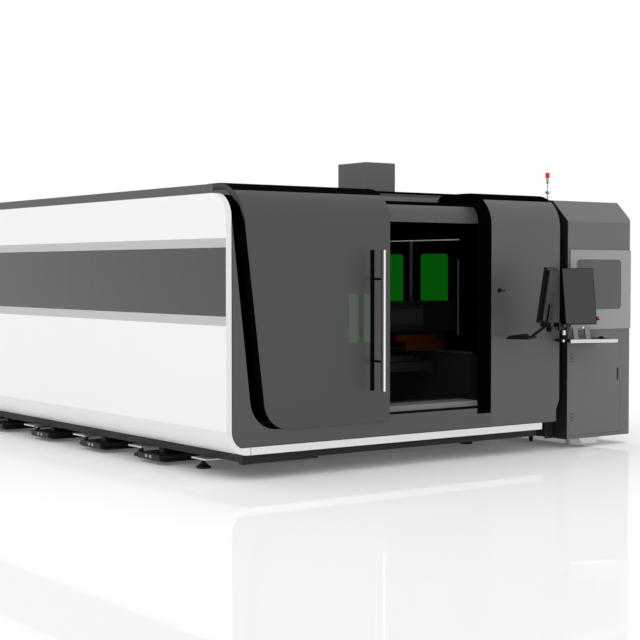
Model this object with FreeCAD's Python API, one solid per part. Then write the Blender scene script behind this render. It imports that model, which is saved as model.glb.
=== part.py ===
import FreeCAD, Part
import math
import os
from FreeCAD import Vector

# Enclosed fiber laser cutting machine, in millimetres, +Z up.
# The model is built with x = 0 on the left side face, y = 0 on the front plane and
# z = 0 on the floor, then shifted so that its origin is the centre of its footprint.

# ---------------------------------------------------------------- driving dimensions
LENGTH = 8400.0            # front plane to rear face
WIDTH = 3616.0             # left face to right face of the cutting cabin
SHEET = 4.0                # folded sheet of the covers
GAP = 2.0                  # gap between a cover and what stands beside it
RUN = 0.5                  # running clearance of wheels and slides

SKIRT_LOW = 206.0          # underside of the white bottom strip
STRIP_TOP = 267.0
SKIRT_TOP = 442.0
SIDE_CORNER_R = 194.0      # rounded lower edge of the sides
LOWER_TOP = 1219.0         # top of the white lower panel
BAND_LOW = 1291.0          # dark window band
BAND_HIGH = 1828.0
UPPER_LOW = 1900.0         # foot of the white upper panel
UPPER_TOP = 2253.0
BAND_DEPTH = 35.0
ROOF_TOP = 2325.0
FRONT_ROOF_TOP = 2250.0
ROOF_STEP_Y = 850.0        # where the high roof begins
DECK_TOP = 2365.0          # shallow raised deck on the high roof
DECK_INSET = 380.0
DECK_REAR = 8020.0

RIM_WIDTH = 46.0
RIM_DEPTH = 8.0
RIM_CROWN_R = 200.0        # rim's arc at the top front corner

CANOPY_TOP = 2340.0
CANOPY_R = 300.0           # arc at the top of the door and the right shell
CAP_ANGLE = 52.0           # where the black cap takes over from the grey skin
SHELL_LEFT = 2770.0
SHELL_BACK = 630.0
SHELL_REAR_R = 110.0
SKIRT_NOTCH = (165.0, 50.0)   # cut-out at the right end of the skirt: width and depth
SHELL_NOTCH = 38.0         # cut back at the foot of the right shell
SHELL_NOTCH_TOP = 461.0
SHELL_NOTCH_LOW = 381.0
STRIP_END = 3400.0
STRIP_SEAM = 220.0

BUTTON_X = 2862.0          # push button of the door, on the right shell
BUTTON_Z = 1473.0
BUTTON_R = 15.0
BUTTON_REACH = (14.0, 44.0)   # how far it stands out, and its length

INNER_Y = 180.0            # plane of the fascia, the sill and the inner front wall
INNER_R = 170.0
FASCIA_LOW = 2065.0
SILL_TOP = 488.0
SILL_DEPTH = 240.0
FASCIA_LEFT = 1500.0

DOOR_RIGHT = 1602.0
DOOR_FACE = -20.0          # the door hangs this far in front of the front plane
DOOR_LOW = 392.0
DOOR_BACK = 460.0          # rear edge of the door's canopy
DOOR_EDGE_X = 161.0        # slanted left edge: x at z = 2000
DOOR_SLOPE = 0.125
DOOR_CORNER_R = 230.0
CHEEK = (50.0, 60.0, 45.0, 52.0, 118.0)   # offsets of the lower edge of the canopy's left cheek
SURROUND_EDGE_X = 55.0     # slanted edge of the surround: x at z = 2000
SURROUND_SLOPE = 0.117
SURROUND_CORNER_R = 250.0
SURROUND_LOW = 395.0
SLANT_REF_Z = 2000.0
DOOR_TRAVEL = 1165.0
DOOR_FRAME_DEPTH = 110.0
DOOR_FRAME_BAR = 60.0
DOOR_WINDOW = (1171.0, 1405.0, 1060.0, 1456.0)

HANDLE_X = 1414.0
HANDLE_LOW = 656.0
HANDLE_HIGH = 1820.0
HANDLE_STANDOFF = 150.0    # door face to the axis of the chrome bar
HANDLE_R = 24.0
HANDLE_BACK_WIDTH = 40.0
HANDLE_BACK_DEPTH = 4.0
HANDLE_POST_R = 9.0
HANDLE_POSTS = (902.0, 1579.0)

WALL_X = 3450.0            # inner side wall of the cabin
WALL_FRONT = 1190.0
WALL_LOW = 250.0
WALL_TOP = 2240.0
CABIN_REAR = 8300.0
GREEN_FIRST = 1354.0       # first green window
GREEN_WIDTH = 414.0
GREEN_PITCH = 690.0
GREEN_LOW = 1180.0
GREEN_HIGH = 1815.0
GREEN_R = 45.0
LAMP_Z = 1945.0
LAMP_SIZE = 20.0           # width of the strip and of the posts that carry it
LAMP_HEIGHT = 9.0

FRAME_Z = (138.0, 206.0)   # base frame bars, low and high
FRAME_BAR = 100.0
FRAME_LEFT = 200.0
FRAME_FRONT = 90.0
FRAME_LIP = (200.0, 940.0, 16.0)   # lower bar under the frame's front: left, right and height
OUTRIGGER = (60.0, 12.0)   # plate of the frame over each foot: half width and thickness
FRAME_BAYS = 4
FOOT_X = 340.0
FOOT_Y = 891.0
FOOT_PITCH = 1055.0
FOOT_PAD_R = 62.0
FOOT_PAD_H = 18.0
FOOT_STEM_R = 22.0
PLATE_T = 12.0             # light plates under the frame, in front of the feet
PLATE_X = (90.0, 290.0)
PLATE_Y = (-450.0, -220.0)   # front and rear edge, from the axis of the foot
DUCT_X = (110.0, 900.0)    # ducts under the frame
DUCT_Z = (40.0, 85.0)
DUCT_HALF = 190.0
DUCT_LIP = 35.0
DUCT_LIP_T = 12.0
DUCT_STUB = 40.0

BED_LOW = 206.0
BED_TOP = 860.0
BED_WALL = 180.0           # width of each bed girder
BED_LEFT = 215.0
BED_RIGHT = 3065.0
BED_FRONT = 600.0
BED_REAR = 8100.0
BED_CROSS_TOP = 480.0
LEDGE = 70.0               # shelf along each girder that carries the pallet
LEDGE_T = 40.0
RAIL = 30.0
RAIL_INSET = 75.0
RAIL_END = 50.0            # rail stops this far before the girder's end

GANTRY_Y = 1200.0
GANTRY_DEPTH = 280.0
GANTRY_LOW = 1065.0
GANTRY_HIGH = 1355.0
GANTRY_LEFT = 240.0
GANTRY_RIGHT = 3420.0
GANTRY_TRAVEL = 6000.0
TRUCK_WIDTH = 130.0
TRUCK_LENGTH = 600.0
TRUCK_FRONT = GANTRY_Y - 50
GUIDE_Z = (1110.0, 1290.0)
GUIDE_H = 24.0
GUIDE_T = 20.0
DRIVE_LOW = (2700.0, 3180.0, 893.0, 985.0)    # drive covers: left, right, low, high
DRIVE_HIGH = (2590.0, 3060.0, 985.0, 1045.0)
DRIVE_DEPTH = 58.0
HEAD_X = 480.0             # cutting head axis at rest
HEAD_TRAVEL = 2500.0
HEAD_Y = 1010.0
HEAD_R = 45.0
HEAD_REST_TIP = 970.0
HEAD_DOWN = 90.0
HEAD_UP = 110.0
CARRIAGE_WIDTH = 260.0
CARRIAGE_Z = (1075.0, 1420.0)

PALLET_SIDE_GAP = 25.0
PALLET_Y = (1100.0, 7500.0)
PALLET_Z = (700.0, 780.0)
PALLET_BAR = 90.0
SLAT_PITCH = 160.0
SLAT_TOP = 845.0
SLAT_T = 4.0
SLAT_INSET = 20.0

HOUSING_LEFT = 3727.0
HOUSING_RIGHT = 4597.0
HOUSING_R = 60.0           # upright corner at the right front
HOUSING_BEND = 2100.0
HOUSING_TOP = 2300.0
HOUSING_SLOPE = 200.0      # depth of the sloped front of the roof
HOUSING_LENGTH = 2400.0
HOUSING_LOW = 89.0
HATCH = (3748.0, 4607.0, 1100.0, 1840.0)
HATCH_T = 8.0
HATCH_SIDE = 800.0         # how far the hatch reaches round the right side
HATCH_TRAVEL = 240.0
HATCH_BORDER = 45.0
HATCH_WINDOW = (3828.0, 4427.0, 1286.0, 1752.0)
HATCH_WINDOW_R = 40.0

CABINET_DEPTH = 450.0
CABINET_DOOR = (3759.0, 4428.0, 122.0, 970.0)
CABINET_DOOR_T = 20.0
LATCH_SLOT = (40.0, 20.0, 610.0, 730.0)   # from the door's right edge, and its heights

CONSOLE_TURN = 20.0        # degrees that desk and monitor turn towards the left
DESK_CORNER = (3553.0, -196.0)
DESK_WIDTH = 470.0
DESK_LOW = 994.0
DESK_RAIL = (16.0, 31.0)
DESK_T = 22.0
MONITOR_W = 310.0
MONITOR_H = 515.0
MONITOR_T = 38.0
MONITOR_LOW = 1163.0
MONITOR_TILT = 10.0
MONITOR_POINT = (3678.0, -216.0)
ESTOP_STEM_R = 6.0
ESTOP_R = 11.0
ESTOP_OUT = 12.0           # axis of the stop button to the right edge of the display
ESTOP_Z = 52.0             # height of the stop button above the foot of the display

POST = (3560.0, -110.0)    # axis of the arm's upright post
POST_R = 19.0
POST_BOSS = 42.0           # collar on the desk round the post
HUB_Z = (1106.0, 1134.0)   # ring of the arm that turns on the post
ARM_Z = (1118.0, 1156.0)
ARM_CLAMP_TOP = 1186.0
ARM_WIDTH = 46.0
ARM_END = (3067.0, -416.0)
PIN_R = 12.0               # pins that the arm and the second monitor turn on
PIN_CLEAR = 0.1
SIDE_TURN = 122.5          # direction that the second monitor faces, from +X
SIDE_W = 420.0
SIDE_H = 480.0
SIDE_T = 50.0
SIDE_OFFSET = 70.0         # swivel axis to the face of the second monitor
SIDE_LOW = 1202.0
SIDE_TILT = 8.0
TRAY_REACH = 245.0
TRAY_W = 330.0
TRAY_D = 200.0
TRAY_Z = 1052.0
TRAY_T = 14.0

LAMP_POLE = (3780.0, 325.0)
LAMP_R = 20.0
LAMP_JOINT = 80.0          # swivel joint above the roof
LAMP_FOOT = 215.0          # foot of the red lens above the roof
LAMP_LENS = 44.0
EXTRACT = (2304.0, 2650.0, 1200.0, 1626.0)
EXTRACT_EDGE = 20.0        # the roof's opening stays this far inside the box
EXTRACT_WALL = 5.0
EXTRACT_TOP = 2653.0
EXTRACT_PORT_R = 125.0
EXTRACT_COLLAR = 60.0

TUBE_X = 4141.0            # axis of the tube chucks
TUBE_Z = 1250.0
TUBE_GIRDER = 80.0
TUBE_HALF = 290.0
TUBE_TOP = 850.0
TUBE_FRONT = 500.0
TUBE_REAR = 8300.0
CHUCK_R = 185.0
CHUCK_GAP = 0.5
CHUCK_LENGTH = 230.0
CHUCK_BORE = 90.0
FRONT_STAND_Y = 900.0
REAR_STAND_Y = 6400.0
STAND_DEPTH = 200.0
REAR_TRAVEL = 3600.0

PORT = (400.0, 3216.0, 640.0, 1480.0)   # pallet port in the rear wall
REAR_WALL_T = 60.0
PORT_DOOR_T = 30.0
REAR_BORE_X = 3300.0
REAR_BORES = ((420.0, 25.0), (560.0, 12.0))   # supply cable and gas hose: height and radius
PORT_DOOR_TRAVEL = 640.0

CONSOLE_REACH = -555.0     # how far the second monitor stands out in front of the front plane
CENTRE = Vector(HATCH[1] / 2, (LENGTH + CONSOLE_REACH) / 2, 0)


# ---------------------------------------------------------------- basic solids
def box(x0, x1, y0, y1, z0, z1):
    return Part.makeBox(x1 - x0, y1 - y0, z1 - z0, Vector(x0, y0, z0))


def place(plane, a, b, c):
    """Point with a and b in the named plane and c along its normal."""
    if plane == "xz":
        return Vector(a, c, b)
    if plane == "yz":
        return Vector(c, a, b)
    return Vector(a, b, c)


def prism(plane, start, path, low, high):
    """Closed outline in a plane, made thick from low to high along its normal.

    Each entry of path is an end point (a, b), or a pair of points for an arc:
    ((via a, via b), (end a, end b)).
    """
    edges = []
    here = start
    for step in path + [start]:
        if isinstance(step[0], tuple):
            via, end = step
            points = [place(plane, *point, low) for point in (here, via, end)]
            edges.append(Part.Arc(*points).toShape())
        else:
            end = step
            if math.dist(here, end) < 1e-6:
                continue
            points = [place(plane, *point, low) for point in (here, end)]
            edges.append(Part.LineSegment(*points).toShape())
        here = end
    return Part.Face(Part.Wire(edges)).extrude(place(plane, 0, 0, high - low))


def on_arc(centre, radius, degrees):
    angle = math.radians(degrees)
    return (centre[0] + radius * math.cos(angle), centre[1] + radius * math.sin(angle))


def rounded(plane, a0, a1, b0, b1, radius, low, high):
    """Rectangle with four round corners."""
    def corner(a, b, first):
        return [on_arc((a, b), radius, angle) for angle in (first, first + 45, first + 90)]
    right_top = corner(a1 - radius, b1 - radius, 0)
    left_top = corner(a0 + radius, b1 - radius, 90)
    left_low = corner(a0 + radius, b0 + radius, 180)
    right_low = corner(a1 - radius, b0 + radius, 270)
    path = []
    for points in (right_top, left_top, left_low, right_low):
        path.append(points[0])
        path.append((points[1], points[2]))
    return prism(plane, path[0], path[1:], low, high)


def cylinder(radius, start, axis, length):
    return Part.makeCylinder(radius, length, Vector(*start), Vector(*axis))


def fuse(shapes):
    return shapes[0].fuse(shapes[1:]).removeSplitter()


def group(shapes):
    return Part.makeCompound(shapes)


def mirrored(shape):
    """The same piece on the right side of the cabin."""
    return shape.mirror(Vector(WIDTH / 2, 0, 0), Vector(1, 0, 0))


# ---------------------------------------------------------------- front profiles
def canopy_sheet(face, radius, crown, low, first, last, back, x0, x1):
    """Sheet that rises from low, follows an arc from first to last degrees and runs flat to back.

    Degrees count from the upright face (0) to the top of the arc (90).
    """
    centre = (face + radius, crown)
    inner = radius - SHEET
    start = on_arc(centre, radius, 180 - first)
    path = []
    if low is not None:
        start = (face, low)
        path.append((face, crown))
    middle = 180 - (first + last) / 2
    path.append((on_arc(centre, radius, middle), on_arc(centre, radius, 180 - last)))
    if back is not None:
        path.append((back, crown + radius))
        path.append((back, crown + inner))
        path.append((centre[0], crown + inner))
    else:
        path.append(on_arc(centre, inner, 180 - last))
    path.append((on_arc(centre, inner, middle), on_arc(centre, inner, 180 - first)))
    if low is not None:
        path.append((face + SHEET, low))
    return prism("yz", start, path, x0, x1)


def slant_x(edge_x, slope, z):
    return edge_x + slope * (SLANT_REF_Z - z)


def slant_corner(edge_x, slope, radius, low):
    """Round corner between a slanted edge and a level bottom edge: its two ends and its middle."""
    length = math.hypot(1, slope)
    normal = (1 / length, slope / length)
    centre_z = low + radius
    centre_x = slant_x(edge_x, slope, centre_z) + radius * length
    on_slant = (centre_x - radius * normal[0], centre_z - radius * normal[1])
    bottom = (centre_x, low)
    half = (180 + math.degrees(math.atan(slope)) + 270) / 2
    return on_slant, on_arc((centre_x, centre_z), radius, half), bottom


CANOPY_CROWN = CANOPY_TOP - CANOPY_R
INNER_CROWN = FRONT_ROOF_TOP - INNER_R
RIM_CROWN = UPPER_TOP - RIM_CROWN_R


# ---------------------------------------------------------------- base
def bay_edges():
    """Front edges of the cross bars that divide the base frame and the bed into bays."""
    step = (BED_REAR - FRAME_BAR - BED_FRONT) / FRAME_BAYS
    return [BED_FRONT + step * i for i in range(FRAME_BAYS + 1)]


def base_frame():
    """Welded bars under the bed, with a plate over each foot on both sides."""
    low, high = FRAME_Z
    right = WIDTH - FRAME_LEFT
    inner_left = FRAME_LEFT + FRAME_BAR
    inner_right = right - FRAME_BAR
    bars = []
    for x in (FRAME_LEFT, inner_right):
        bars.append(box(x, x + FRAME_BAR, FRAME_FRONT, LENGTH - FRAME_BAR, low, high))
    for y in [FRAME_FRONT] + bay_edges():
        bars.append(box(inner_left, inner_right, y, y + FRAME_BAR, low, high))
    half, thick = OUTRIGGER
    middle = FRAME_LEFT + FRAME_BAR / 2
    for y in foot_places():
        plate = box(middle, FOOT_X + half, y - half, y + half, low - thick, low)
        bars.append(plate)
        bars.append(mirrored(plate))
    x0, x1, height = FRAME_LIP
    bars.append(box(x0, x1, FRAME_FRONT, FRAME_FRONT + FRAME_BAR / 2, low - height, low))
    return group(bars)


def foot_places():
    count = int((LENGTH - FOOT_Y) / FOOT_PITCH) + 1
    return [FOOT_Y + FOOT_PITCH * i for i in range(count)]


def foot(x, y, top):
    pad = cylinder(FOOT_PAD_R, (x, y, 0), (0, 0, 1), FOOT_PAD_H)
    skirt = Part.makeCone(FOOT_PAD_R - 12, FOOT_STEM_R + 6, 22, Vector(x, y, FOOT_PAD_H), Vector(0, 0, 1))
    stem = cylinder(FOOT_STEM_R, (x, y, FOOT_PAD_H), (0, 0, 1), top - FOOT_PAD_H)
    return fuse([pad, skirt, stem])


def small_foot(x, y, top):
    return Part.makeCone(14, 42, top, Vector(x, y, 0), Vector(0, 0, 1))


def levelling_feet():
    feet = []
    for y in foot_places():
        for x in (FOOT_X, WIDTH - FOOT_X):
            feet.append(foot(x, y, FRAME_Z[0] - OUTRIGGER[1]))
    tube_feet = (TUBE_FRONT + 140, 2600, 4400, 6200, TUBE_REAR - 200)
    for y in tube_feet:
        for side in (-1, 1):
            feet.append(small_foot(TUBE_X + side * (TUBE_HALF - TUBE_GIRDER / 2), y, 150))
    return group(feet)


def foot_plates():
    """Light plates in front of the feet, with the bracket under the console's front edge."""
    top = FRAME_Z[0]
    plates = []
    for y in foot_places():
        plate = box(*PLATE_X, y + PLATE_Y[0], y + PLATE_Y[1], top - PLATE_T, top)
        plates.append(plate)
        plates.append(mirrored(plate))
    outline = [(4122, 34), (4176, HOUSING_LOW), (3880, HOUSING_LOW)]
    plates.append(prism("xz", (3934, 34), outline, 8, 14))
    return group(plates)


def cross_channels():
    """Low ducts that run in from each side, one between each pair of feet, each hung on a stub."""
    x0, x1 = DUCT_X
    low, high = DUCT_Z
    stub = (FRAME_LEFT + DUCT_STUB, FRAME_LEFT + 2 * DUCT_STUB)
    ducts = []
    for y in foot_places()[:-1]:
        middle = y + FOOT_PITCH / 2
        body = box(x0, x1, middle - DUCT_HALF, middle + DUCT_HALF, low, high)
        edge = DUCT_HALF + DUCT_LIP
        lip = box(x0 + 30, x1 - 30, middle - edge, middle + edge, low - DUCT_LIP_T, low)
        hanger = box(*stub, middle - DUCT_STUB, middle + DUCT_STUB, high, FRAME_Z[0])
        duct = fuse([body, lip, hanger])
        ducts.append(duct)
        ducts.append(mirrored(duct))
    return group(ducts)


# ---------------------------------------------------------------- machine bed
def bed_places():
    return ((BED_LEFT, BED_LEFT + BED_WALL), (BED_RIGHT, BED_RIGHT + BED_WALL))


PALLET_LEFT = BED_LEFT + BED_WALL + PALLET_SIDE_GAP
PALLET_RIGHT = BED_RIGHT - PALLET_SIDE_GAP


def machine_bed():
    parts = [box(x0, x1, BED_FRONT, BED_REAR, BED_LOW, BED_TOP) for x0, x1 in bed_places()]
    left = BED_LEFT + BED_WALL
    for y in bay_edges():
        parts.append(box(left, BED_RIGHT, y, y + FRAME_BAR, BED_LOW, BED_CROSS_TOP))
    ledge_low = PALLET_Z[0] - LEDGE_T
    parts.append(box(left, left + LEDGE, PALLET_Y[0], PALLET_Y[1], ledge_low, PALLET_Z[0]))
    parts.append(box(BED_RIGHT - LEDGE, BED_RIGHT, PALLET_Y[0], PALLET_Y[1], ledge_low, PALLET_Z[0]))
    return group(parts)


def rail(x, y0, y1, low):
    return box(x, x + RAIL, y0 + RAIL_END, y1 - RAIL_END, low, low + RAIL)


def gantry_rails():
    """Rails on both bed girders and on both girders of the tube section."""
    rails = [rail(x0 + RAIL_INSET, BED_FRONT, BED_REAR, BED_TOP) for x0, _ in bed_places()]
    for side in (-1, 1):
        middle = TUBE_X + side * (TUBE_HALF - TUBE_GIRDER / 2)
        rails.append(rail(middle - RAIL / 2, HOUSING_LENGTH, TUBE_REAR, TUBE_TOP))
    return group(rails)


def pallet_frame():
    low, high = PALLET_Z
    y0, y1 = PALLET_Y
    bars = [
        box(PALLET_LEFT, PALLET_LEFT + PALLET_BAR, y0, y1, low, high),
        box(PALLET_RIGHT - PALLET_BAR, PALLET_RIGHT, y0, y1, low, high),
    ]
    inner = (PALLET_LEFT + PALLET_BAR, PALLET_RIGHT - PALLET_BAR)
    bars.append(box(inner[0], inner[1], y0, y0 + PALLET_BAR, low, high))
    bars.append(box(inner[0], inner[1], y1 - PALLET_BAR, y1, low, high))
    return group(bars)


def pallet_slats():
    first = PALLET_Y[0] + PALLET_BAR
    count = int((PALLET_Y[1] - PALLET_BAR - first) / SLAT_PITCH)
    slats = []
    x0, x1 = PALLET_LEFT + SLAT_INSET, PALLET_RIGHT - SLAT_INSET
    for i in range(count):
        y = first + SLAT_PITCH * (i + 0.5)
        slats.append(box(x0, x1, y, y + SLAT_T, PALLET_Z[1], SLAT_TOP))
    return group(slats)


# ---------------------------------------------------------------- side cladding
SIDE_REAR = LENGTH - REAR_WALL_T
CORNER_Z = SKIRT_LOW + SIDE_CORNER_R


def both_sides(shape_left, shape_right):
    return group([shape_left, mirrored(shape_right)])


def side_piece(outline):
    """A cladding piece of one cross section, on the left side and on the right side."""
    start, path = outline
    left = prism("xz", start, path, RIM_DEPTH, SIDE_REAR)
    right = prism("xz", start, path, INNER_Y, SIDE_REAR)
    return both_sides(left, right)


def lower_side_panels():
    return side_piece(((0, CORNER_Z), [(SHEET, CORNER_Z), (SHEET, LOWER_TOP), (0, LOWER_TOP)]))


def rounded_side_edges():
    """Rounded sheets below the flat panels, that carry the rim's finish along both sides."""
    centre = (SIDE_CORNER_R, CORNER_Z)
    inner = SIDE_CORNER_R - SHEET
    path = [
        (on_arc(centre, SIDE_CORNER_R, 225), (SIDE_CORNER_R, SKIRT_LOW)),
        (SIDE_CORNER_R, SKIRT_LOW + SHEET),
        (on_arc(centre, inner, 225), (SHEET, CORNER_Z)),
    ]
    return side_piece(((0, CORNER_Z), path))


def side_chamfers():
    edge = BAND_DEPTH + SHEET
    low_path = [(SHEET, LOWER_TOP), (edge, BAND_LOW), (BAND_DEPTH, BAND_LOW)]
    high_path = [(edge, BAND_HIGH), (SHEET, UPPER_LOW), (0, UPPER_LOW)]
    low = side_piece(((0, LOWER_TOP), low_path))
    high = side_piece(((BAND_DEPTH, BAND_HIGH), high_path))
    return group([low, high])


def side_window_bands():
    edge = BAND_DEPTH + SHEET
    path = [(edge, BAND_LOW), (edge, BAND_HIGH), (BAND_DEPTH, BAND_HIGH)]
    return side_piece(((BAND_DEPTH, BAND_LOW), path))


def upper_side_panels():
    centre = (RIM_CROWN_R, RIM_CROWN)
    inner = RIM_CROWN_R - RIM_DEPTH
    path = [
        (RIM_DEPTH, RIM_CROWN),
        (on_arc(centre, inner, 135), (RIM_CROWN_R, UPPER_TOP - RIM_DEPTH)),
        (RIM_CROWN_R, UPPER_TOP),
        (SIDE_REAR, UPPER_TOP),
        (SIDE_REAR, UPPER_LOW),
    ]
    left = prism("yz", (RIM_DEPTH, UPPER_LOW), path, 0, SHEET)
    right = box(0, SHEET, INNER_Y, SIDE_REAR, UPPER_LOW, UPPER_TOP)
    return both_sides(left, right)


def rim_inner_bottom():
    """Where the rim's inner arc meets the top of the bottom strip."""
    inner = SIDE_CORNER_R - RIM_WIDTH
    angle = math.asin((CORNER_Z - STRIP_TOP) / inner)
    return (SIDE_CORNER_R - inner * math.cos(angle), STRIP_TOP), 180 + math.degrees(angle) / 2


def front_trim():
    """White rim round the left front corner, its strip to the right and its rounded side edges."""
    centre = (SIDE_CORNER_R, CORNER_Z)
    inner = SIDE_CORNER_R - RIM_WIDTH
    kink, half = rim_inner_bottom()
    path = [
        (0, CORNER_Z),
        (on_arc(centre, SIDE_CORNER_R, 225), (SIDE_CORNER_R, SKIRT_LOW)),
        (STRIP_SEAM, SKIRT_LOW),
        (STRIP_SEAM, STRIP_TOP),
        kink,
        (on_arc(centre, inner, half), (RIM_WIDTH, CORNER_Z)),
        (RIM_WIDTH, RIM_CROWN),
    ]
    front = prism("xz", (0, RIM_CROWN), path, 0, RIM_DEPTH)
    top = (RIM_CROWN_R, RIM_CROWN)
    ring = [
        (on_arc(top, RIM_CROWN_R, 135), (RIM_CROWN_R, UPPER_TOP)),
        (RIM_CROWN_R, UPPER_TOP - RIM_DEPTH),
        (on_arc(top, RIM_CROWN_R - RIM_DEPTH, 135), (RIM_DEPTH, RIM_CROWN)),
    ]
    crown = prism("yz", (0, RIM_CROWN), ring, 0, RIM_WIDTH)
    strip = box(STRIP_SEAM, STRIP_END, 0, RIM_DEPTH, SKIRT_LOW, STRIP_TOP)
    return group([fuse([front, crown]), strip, rounded_side_edges()])


# ---------------------------------------------------------------- roof
def main_roof():
    top = box(SHEET, WIDTH - SHEET, ROOF_STEP_Y, LENGTH, ROOF_TOP - SHEET, ROOF_TOP)
    y0, y1 = ROOF_STEP_Y, ROOF_STEP_Y + SHEET
    step = box(RIM_WIDTH, WIDTH - SHEET, y0, y1, FRONT_ROOF_TOP, ROOF_TOP - SHEET)
    left = box(0, SHEET, RIM_CROWN_R, LENGTH, UPPER_TOP, ROOF_TOP)
    right = box(WIDTH - SHEET, WIDTH, SHELL_BACK + SHELL_REAR_R + GAP, LENGTH, UPPER_TOP, ROOF_TOP)
    rear = box(SHEET, WIDTH - SHEET, LENGTH - SHEET, LENGTH, UPPER_TOP, ROOF_TOP - SHEET)
    x0, x1, y0, y1 = EXTRACT
    edge = EXTRACT_EDGE
    port = box(x0 + edge, x1 - edge, y0 + edge, y1 - edge, ROOF_TOP - 50, DECK_TOP + 1)
    x0, x1 = DECK_INSET, WIDTH - DECK_INSET
    y0, y1 = ROOF_STEP_Y, DECK_REAR
    pan = box(x0, x1, y0, y1, ROOF_TOP, DECK_TOP)
    hollow = box(x0 + SHEET, x1 - SHEET, y0 + SHEET, y1 - SHEET, ROOF_TOP, DECK_TOP - SHEET)
    return group([top.cut(port), step, left, right, rear, pan.cut(hollow).cut(port)])


def front_roof():
    """Black roof sheet of the front bay, with the black cap over the fascia's arc."""
    top = FRONT_ROOF_TOP
    y0 = INNER_Y + INNER_R
    flat = box(RIM_WIDTH, WIDTH - SHEET, y0, ROOF_STEP_Y, top - SHEET, top)
    cap = canopy_sheet(INNER_Y, INNER_R, INNER_CROWN, None, CAP_ANGLE, 90, y0 + 1, RIM_WIDTH, SHELL_LEFT)
    return fuse([flat, cap])


def extraction_box():
    x0, x1, y0, y1 = EXTRACT
    wall = EXTRACT_WALL
    low, high = DECK_TOP, EXTRACT_TOP - wall
    sides = [box(x, x + wall, y0, y1, low, high) for x in (x0, x1 - wall)]
    ends = [box(x0 + wall, x1 - wall, y, y + wall, low, high) for y in (y0, y1 - wall)]
    lid = box(x0, x1, y0, y1, high, EXTRACT_TOP)
    middle = ((x0 + x1) / 2, (y0 + y1) / 2)
    collar_low = EXTRACT_TOP - EXTRACT_COLLAR
    collar = cylinder(EXTRACT_PORT_R + wall, (*middle, collar_low), (0, 0, 1), EXTRACT_COLLAR - wall / 2)
    bore = cylinder(EXTRACT_PORT_R, (*middle, collar_low - 1), (0, 0, 1), EXTRACT_COLLAR + 2)
    return group(sides + ends + [fuse([lid, collar]).cut(bore)])


# ---------------------------------------------------------------- rear wall
def rear_wall():
    x0, x1, z0, z1 = PORT
    y0 = LENGTH - REAR_WALL_T
    y1 = LENGTH - SHEET
    centre = (SIDE_CORNER_R, CORNER_Z)
    path = [
        (0, CORNER_Z),
        (on_arc(centre, SIDE_CORNER_R, 225), (SIDE_CORNER_R, SKIRT_LOW)),
        (x0, SKIRT_LOW),
        (x0, UPPER_TOP),
    ]
    left = prism("xz", (0, UPPER_TOP), path, y0, y1)
    low = box(x0, x1, y0, y1, SKIRT_LOW, z0)
    high = box(x0, x1, y0, y1, z1, UPPER_TOP)
    right = mirrored(left)
    for z, radius in REAR_BORES:
        right = right.cut(cylinder(radius, (REAR_BORE_X, y0 - 1, z), (0, 1, 0), REAR_WALL_T))
    return group([left, right, low, high])


def pallet_door():
    x0, x1, z0, z1 = PORT
    y1 = LENGTH - REAR_WALL_T - GAP
    panel = box(x0 - 20, x1 + 20, y1 - PORT_DOOR_T, y1, z0 - 20, z1 + 20)
    for i in range(5):
        z = z0 + 60 + i * (z1 - z0 - 120) / 4
        panel = panel.cut(box(x0 - 20, x1 + 20, y1 - 6, y1, z - 4, z + 4))
    return panel


# ---------------------------------------------------------------- fixed front
def front_surround():
    """Left sliver and skirt in one sheet; the door's slanted edge runs beside the sliver."""
    centre = (SIDE_CORNER_R, CORNER_Z)
    inner = SIDE_CORNER_R - RIM_WIDTH
    kink, half = rim_inner_bottom()
    apex_z = SLANT_REF_Z + (SURROUND_EDGE_X - RIM_WIDTH) / SURROUND_SLOPE
    apex_z = min(apex_z, RIM_CROWN)
    corner = slant_corner(SURROUND_EDGE_X, SURROUND_SLOPE, SURROUND_CORNER_R, SURROUND_LOW)
    on_slant, middle, bottom = corner
    apex_x = slant_x(SURROUND_EDGE_X, SURROUND_SLOPE, apex_z)
    path = [
        (RIM_WIDTH, CORNER_Z),
        (on_arc(centre, inner, half), kink),
        (SHELL_LEFT, STRIP_TOP),
        (SHELL_LEFT, SKIRT_TOP - SKIRT_NOTCH[1]),
        (SHELL_LEFT - SKIRT_NOTCH[0], SKIRT_TOP - SKIRT_NOTCH[1]),
        (SHELL_LEFT - SKIRT_NOTCH[0], SKIRT_TOP),
        (bottom[0] + 140, SKIRT_TOP),
        (bottom[0] + 140, SURROUND_LOW),
        bottom,
        (middle, on_slant),
        (apex_x, apex_z),
    ]
    return prism("xz", (RIM_WIDTH, apex_z), path, 0, SHEET)


def inner_front_wall():
    """Black wall behind the open door, with its return beside the rim and the dark front corner."""
    low = SKIRT_TOP
    wall = canopy_sheet(INNER_Y, INNER_R, INNER_CROWN, low, 0, CAP_ANGLE, None, RIM_WIDTH, FASCIA_LEFT)
    rim_centre = (RIM_CROWN_R, RIM_CROWN)
    inner_centre = (INNER_Y + INNER_R, INNER_CROWN)
    top_z = FRONT_ROOF_TOP - SHEET
    end = 180 - CAP_ANGLE
    path = [
        (RIM_DEPTH, RIM_CROWN),
        (on_arc(rim_centre, RIM_CROWN_R - RIM_DEPTH, 135), (RIM_CROWN_R, UPPER_TOP - RIM_DEPTH)),
        on_arc(inner_centre, INNER_R, end),
        (on_arc(inner_centre, INNER_R, 180 - CAP_ANGLE / 2), (INNER_Y, INNER_CROWN)),
        (INNER_Y, SKIRT_TOP),
    ]
    side = prism("yz", (RIM_DEPTH, SKIRT_TOP), path, RIM_WIDTH, RIM_WIDTH + SHEET)
    corner = box(WALL_X, WALL_X + SHEET, INNER_Y + SHEET, WALL_FRONT, WALL_LOW, top_z)
    return group([wall, side, corner])


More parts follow.
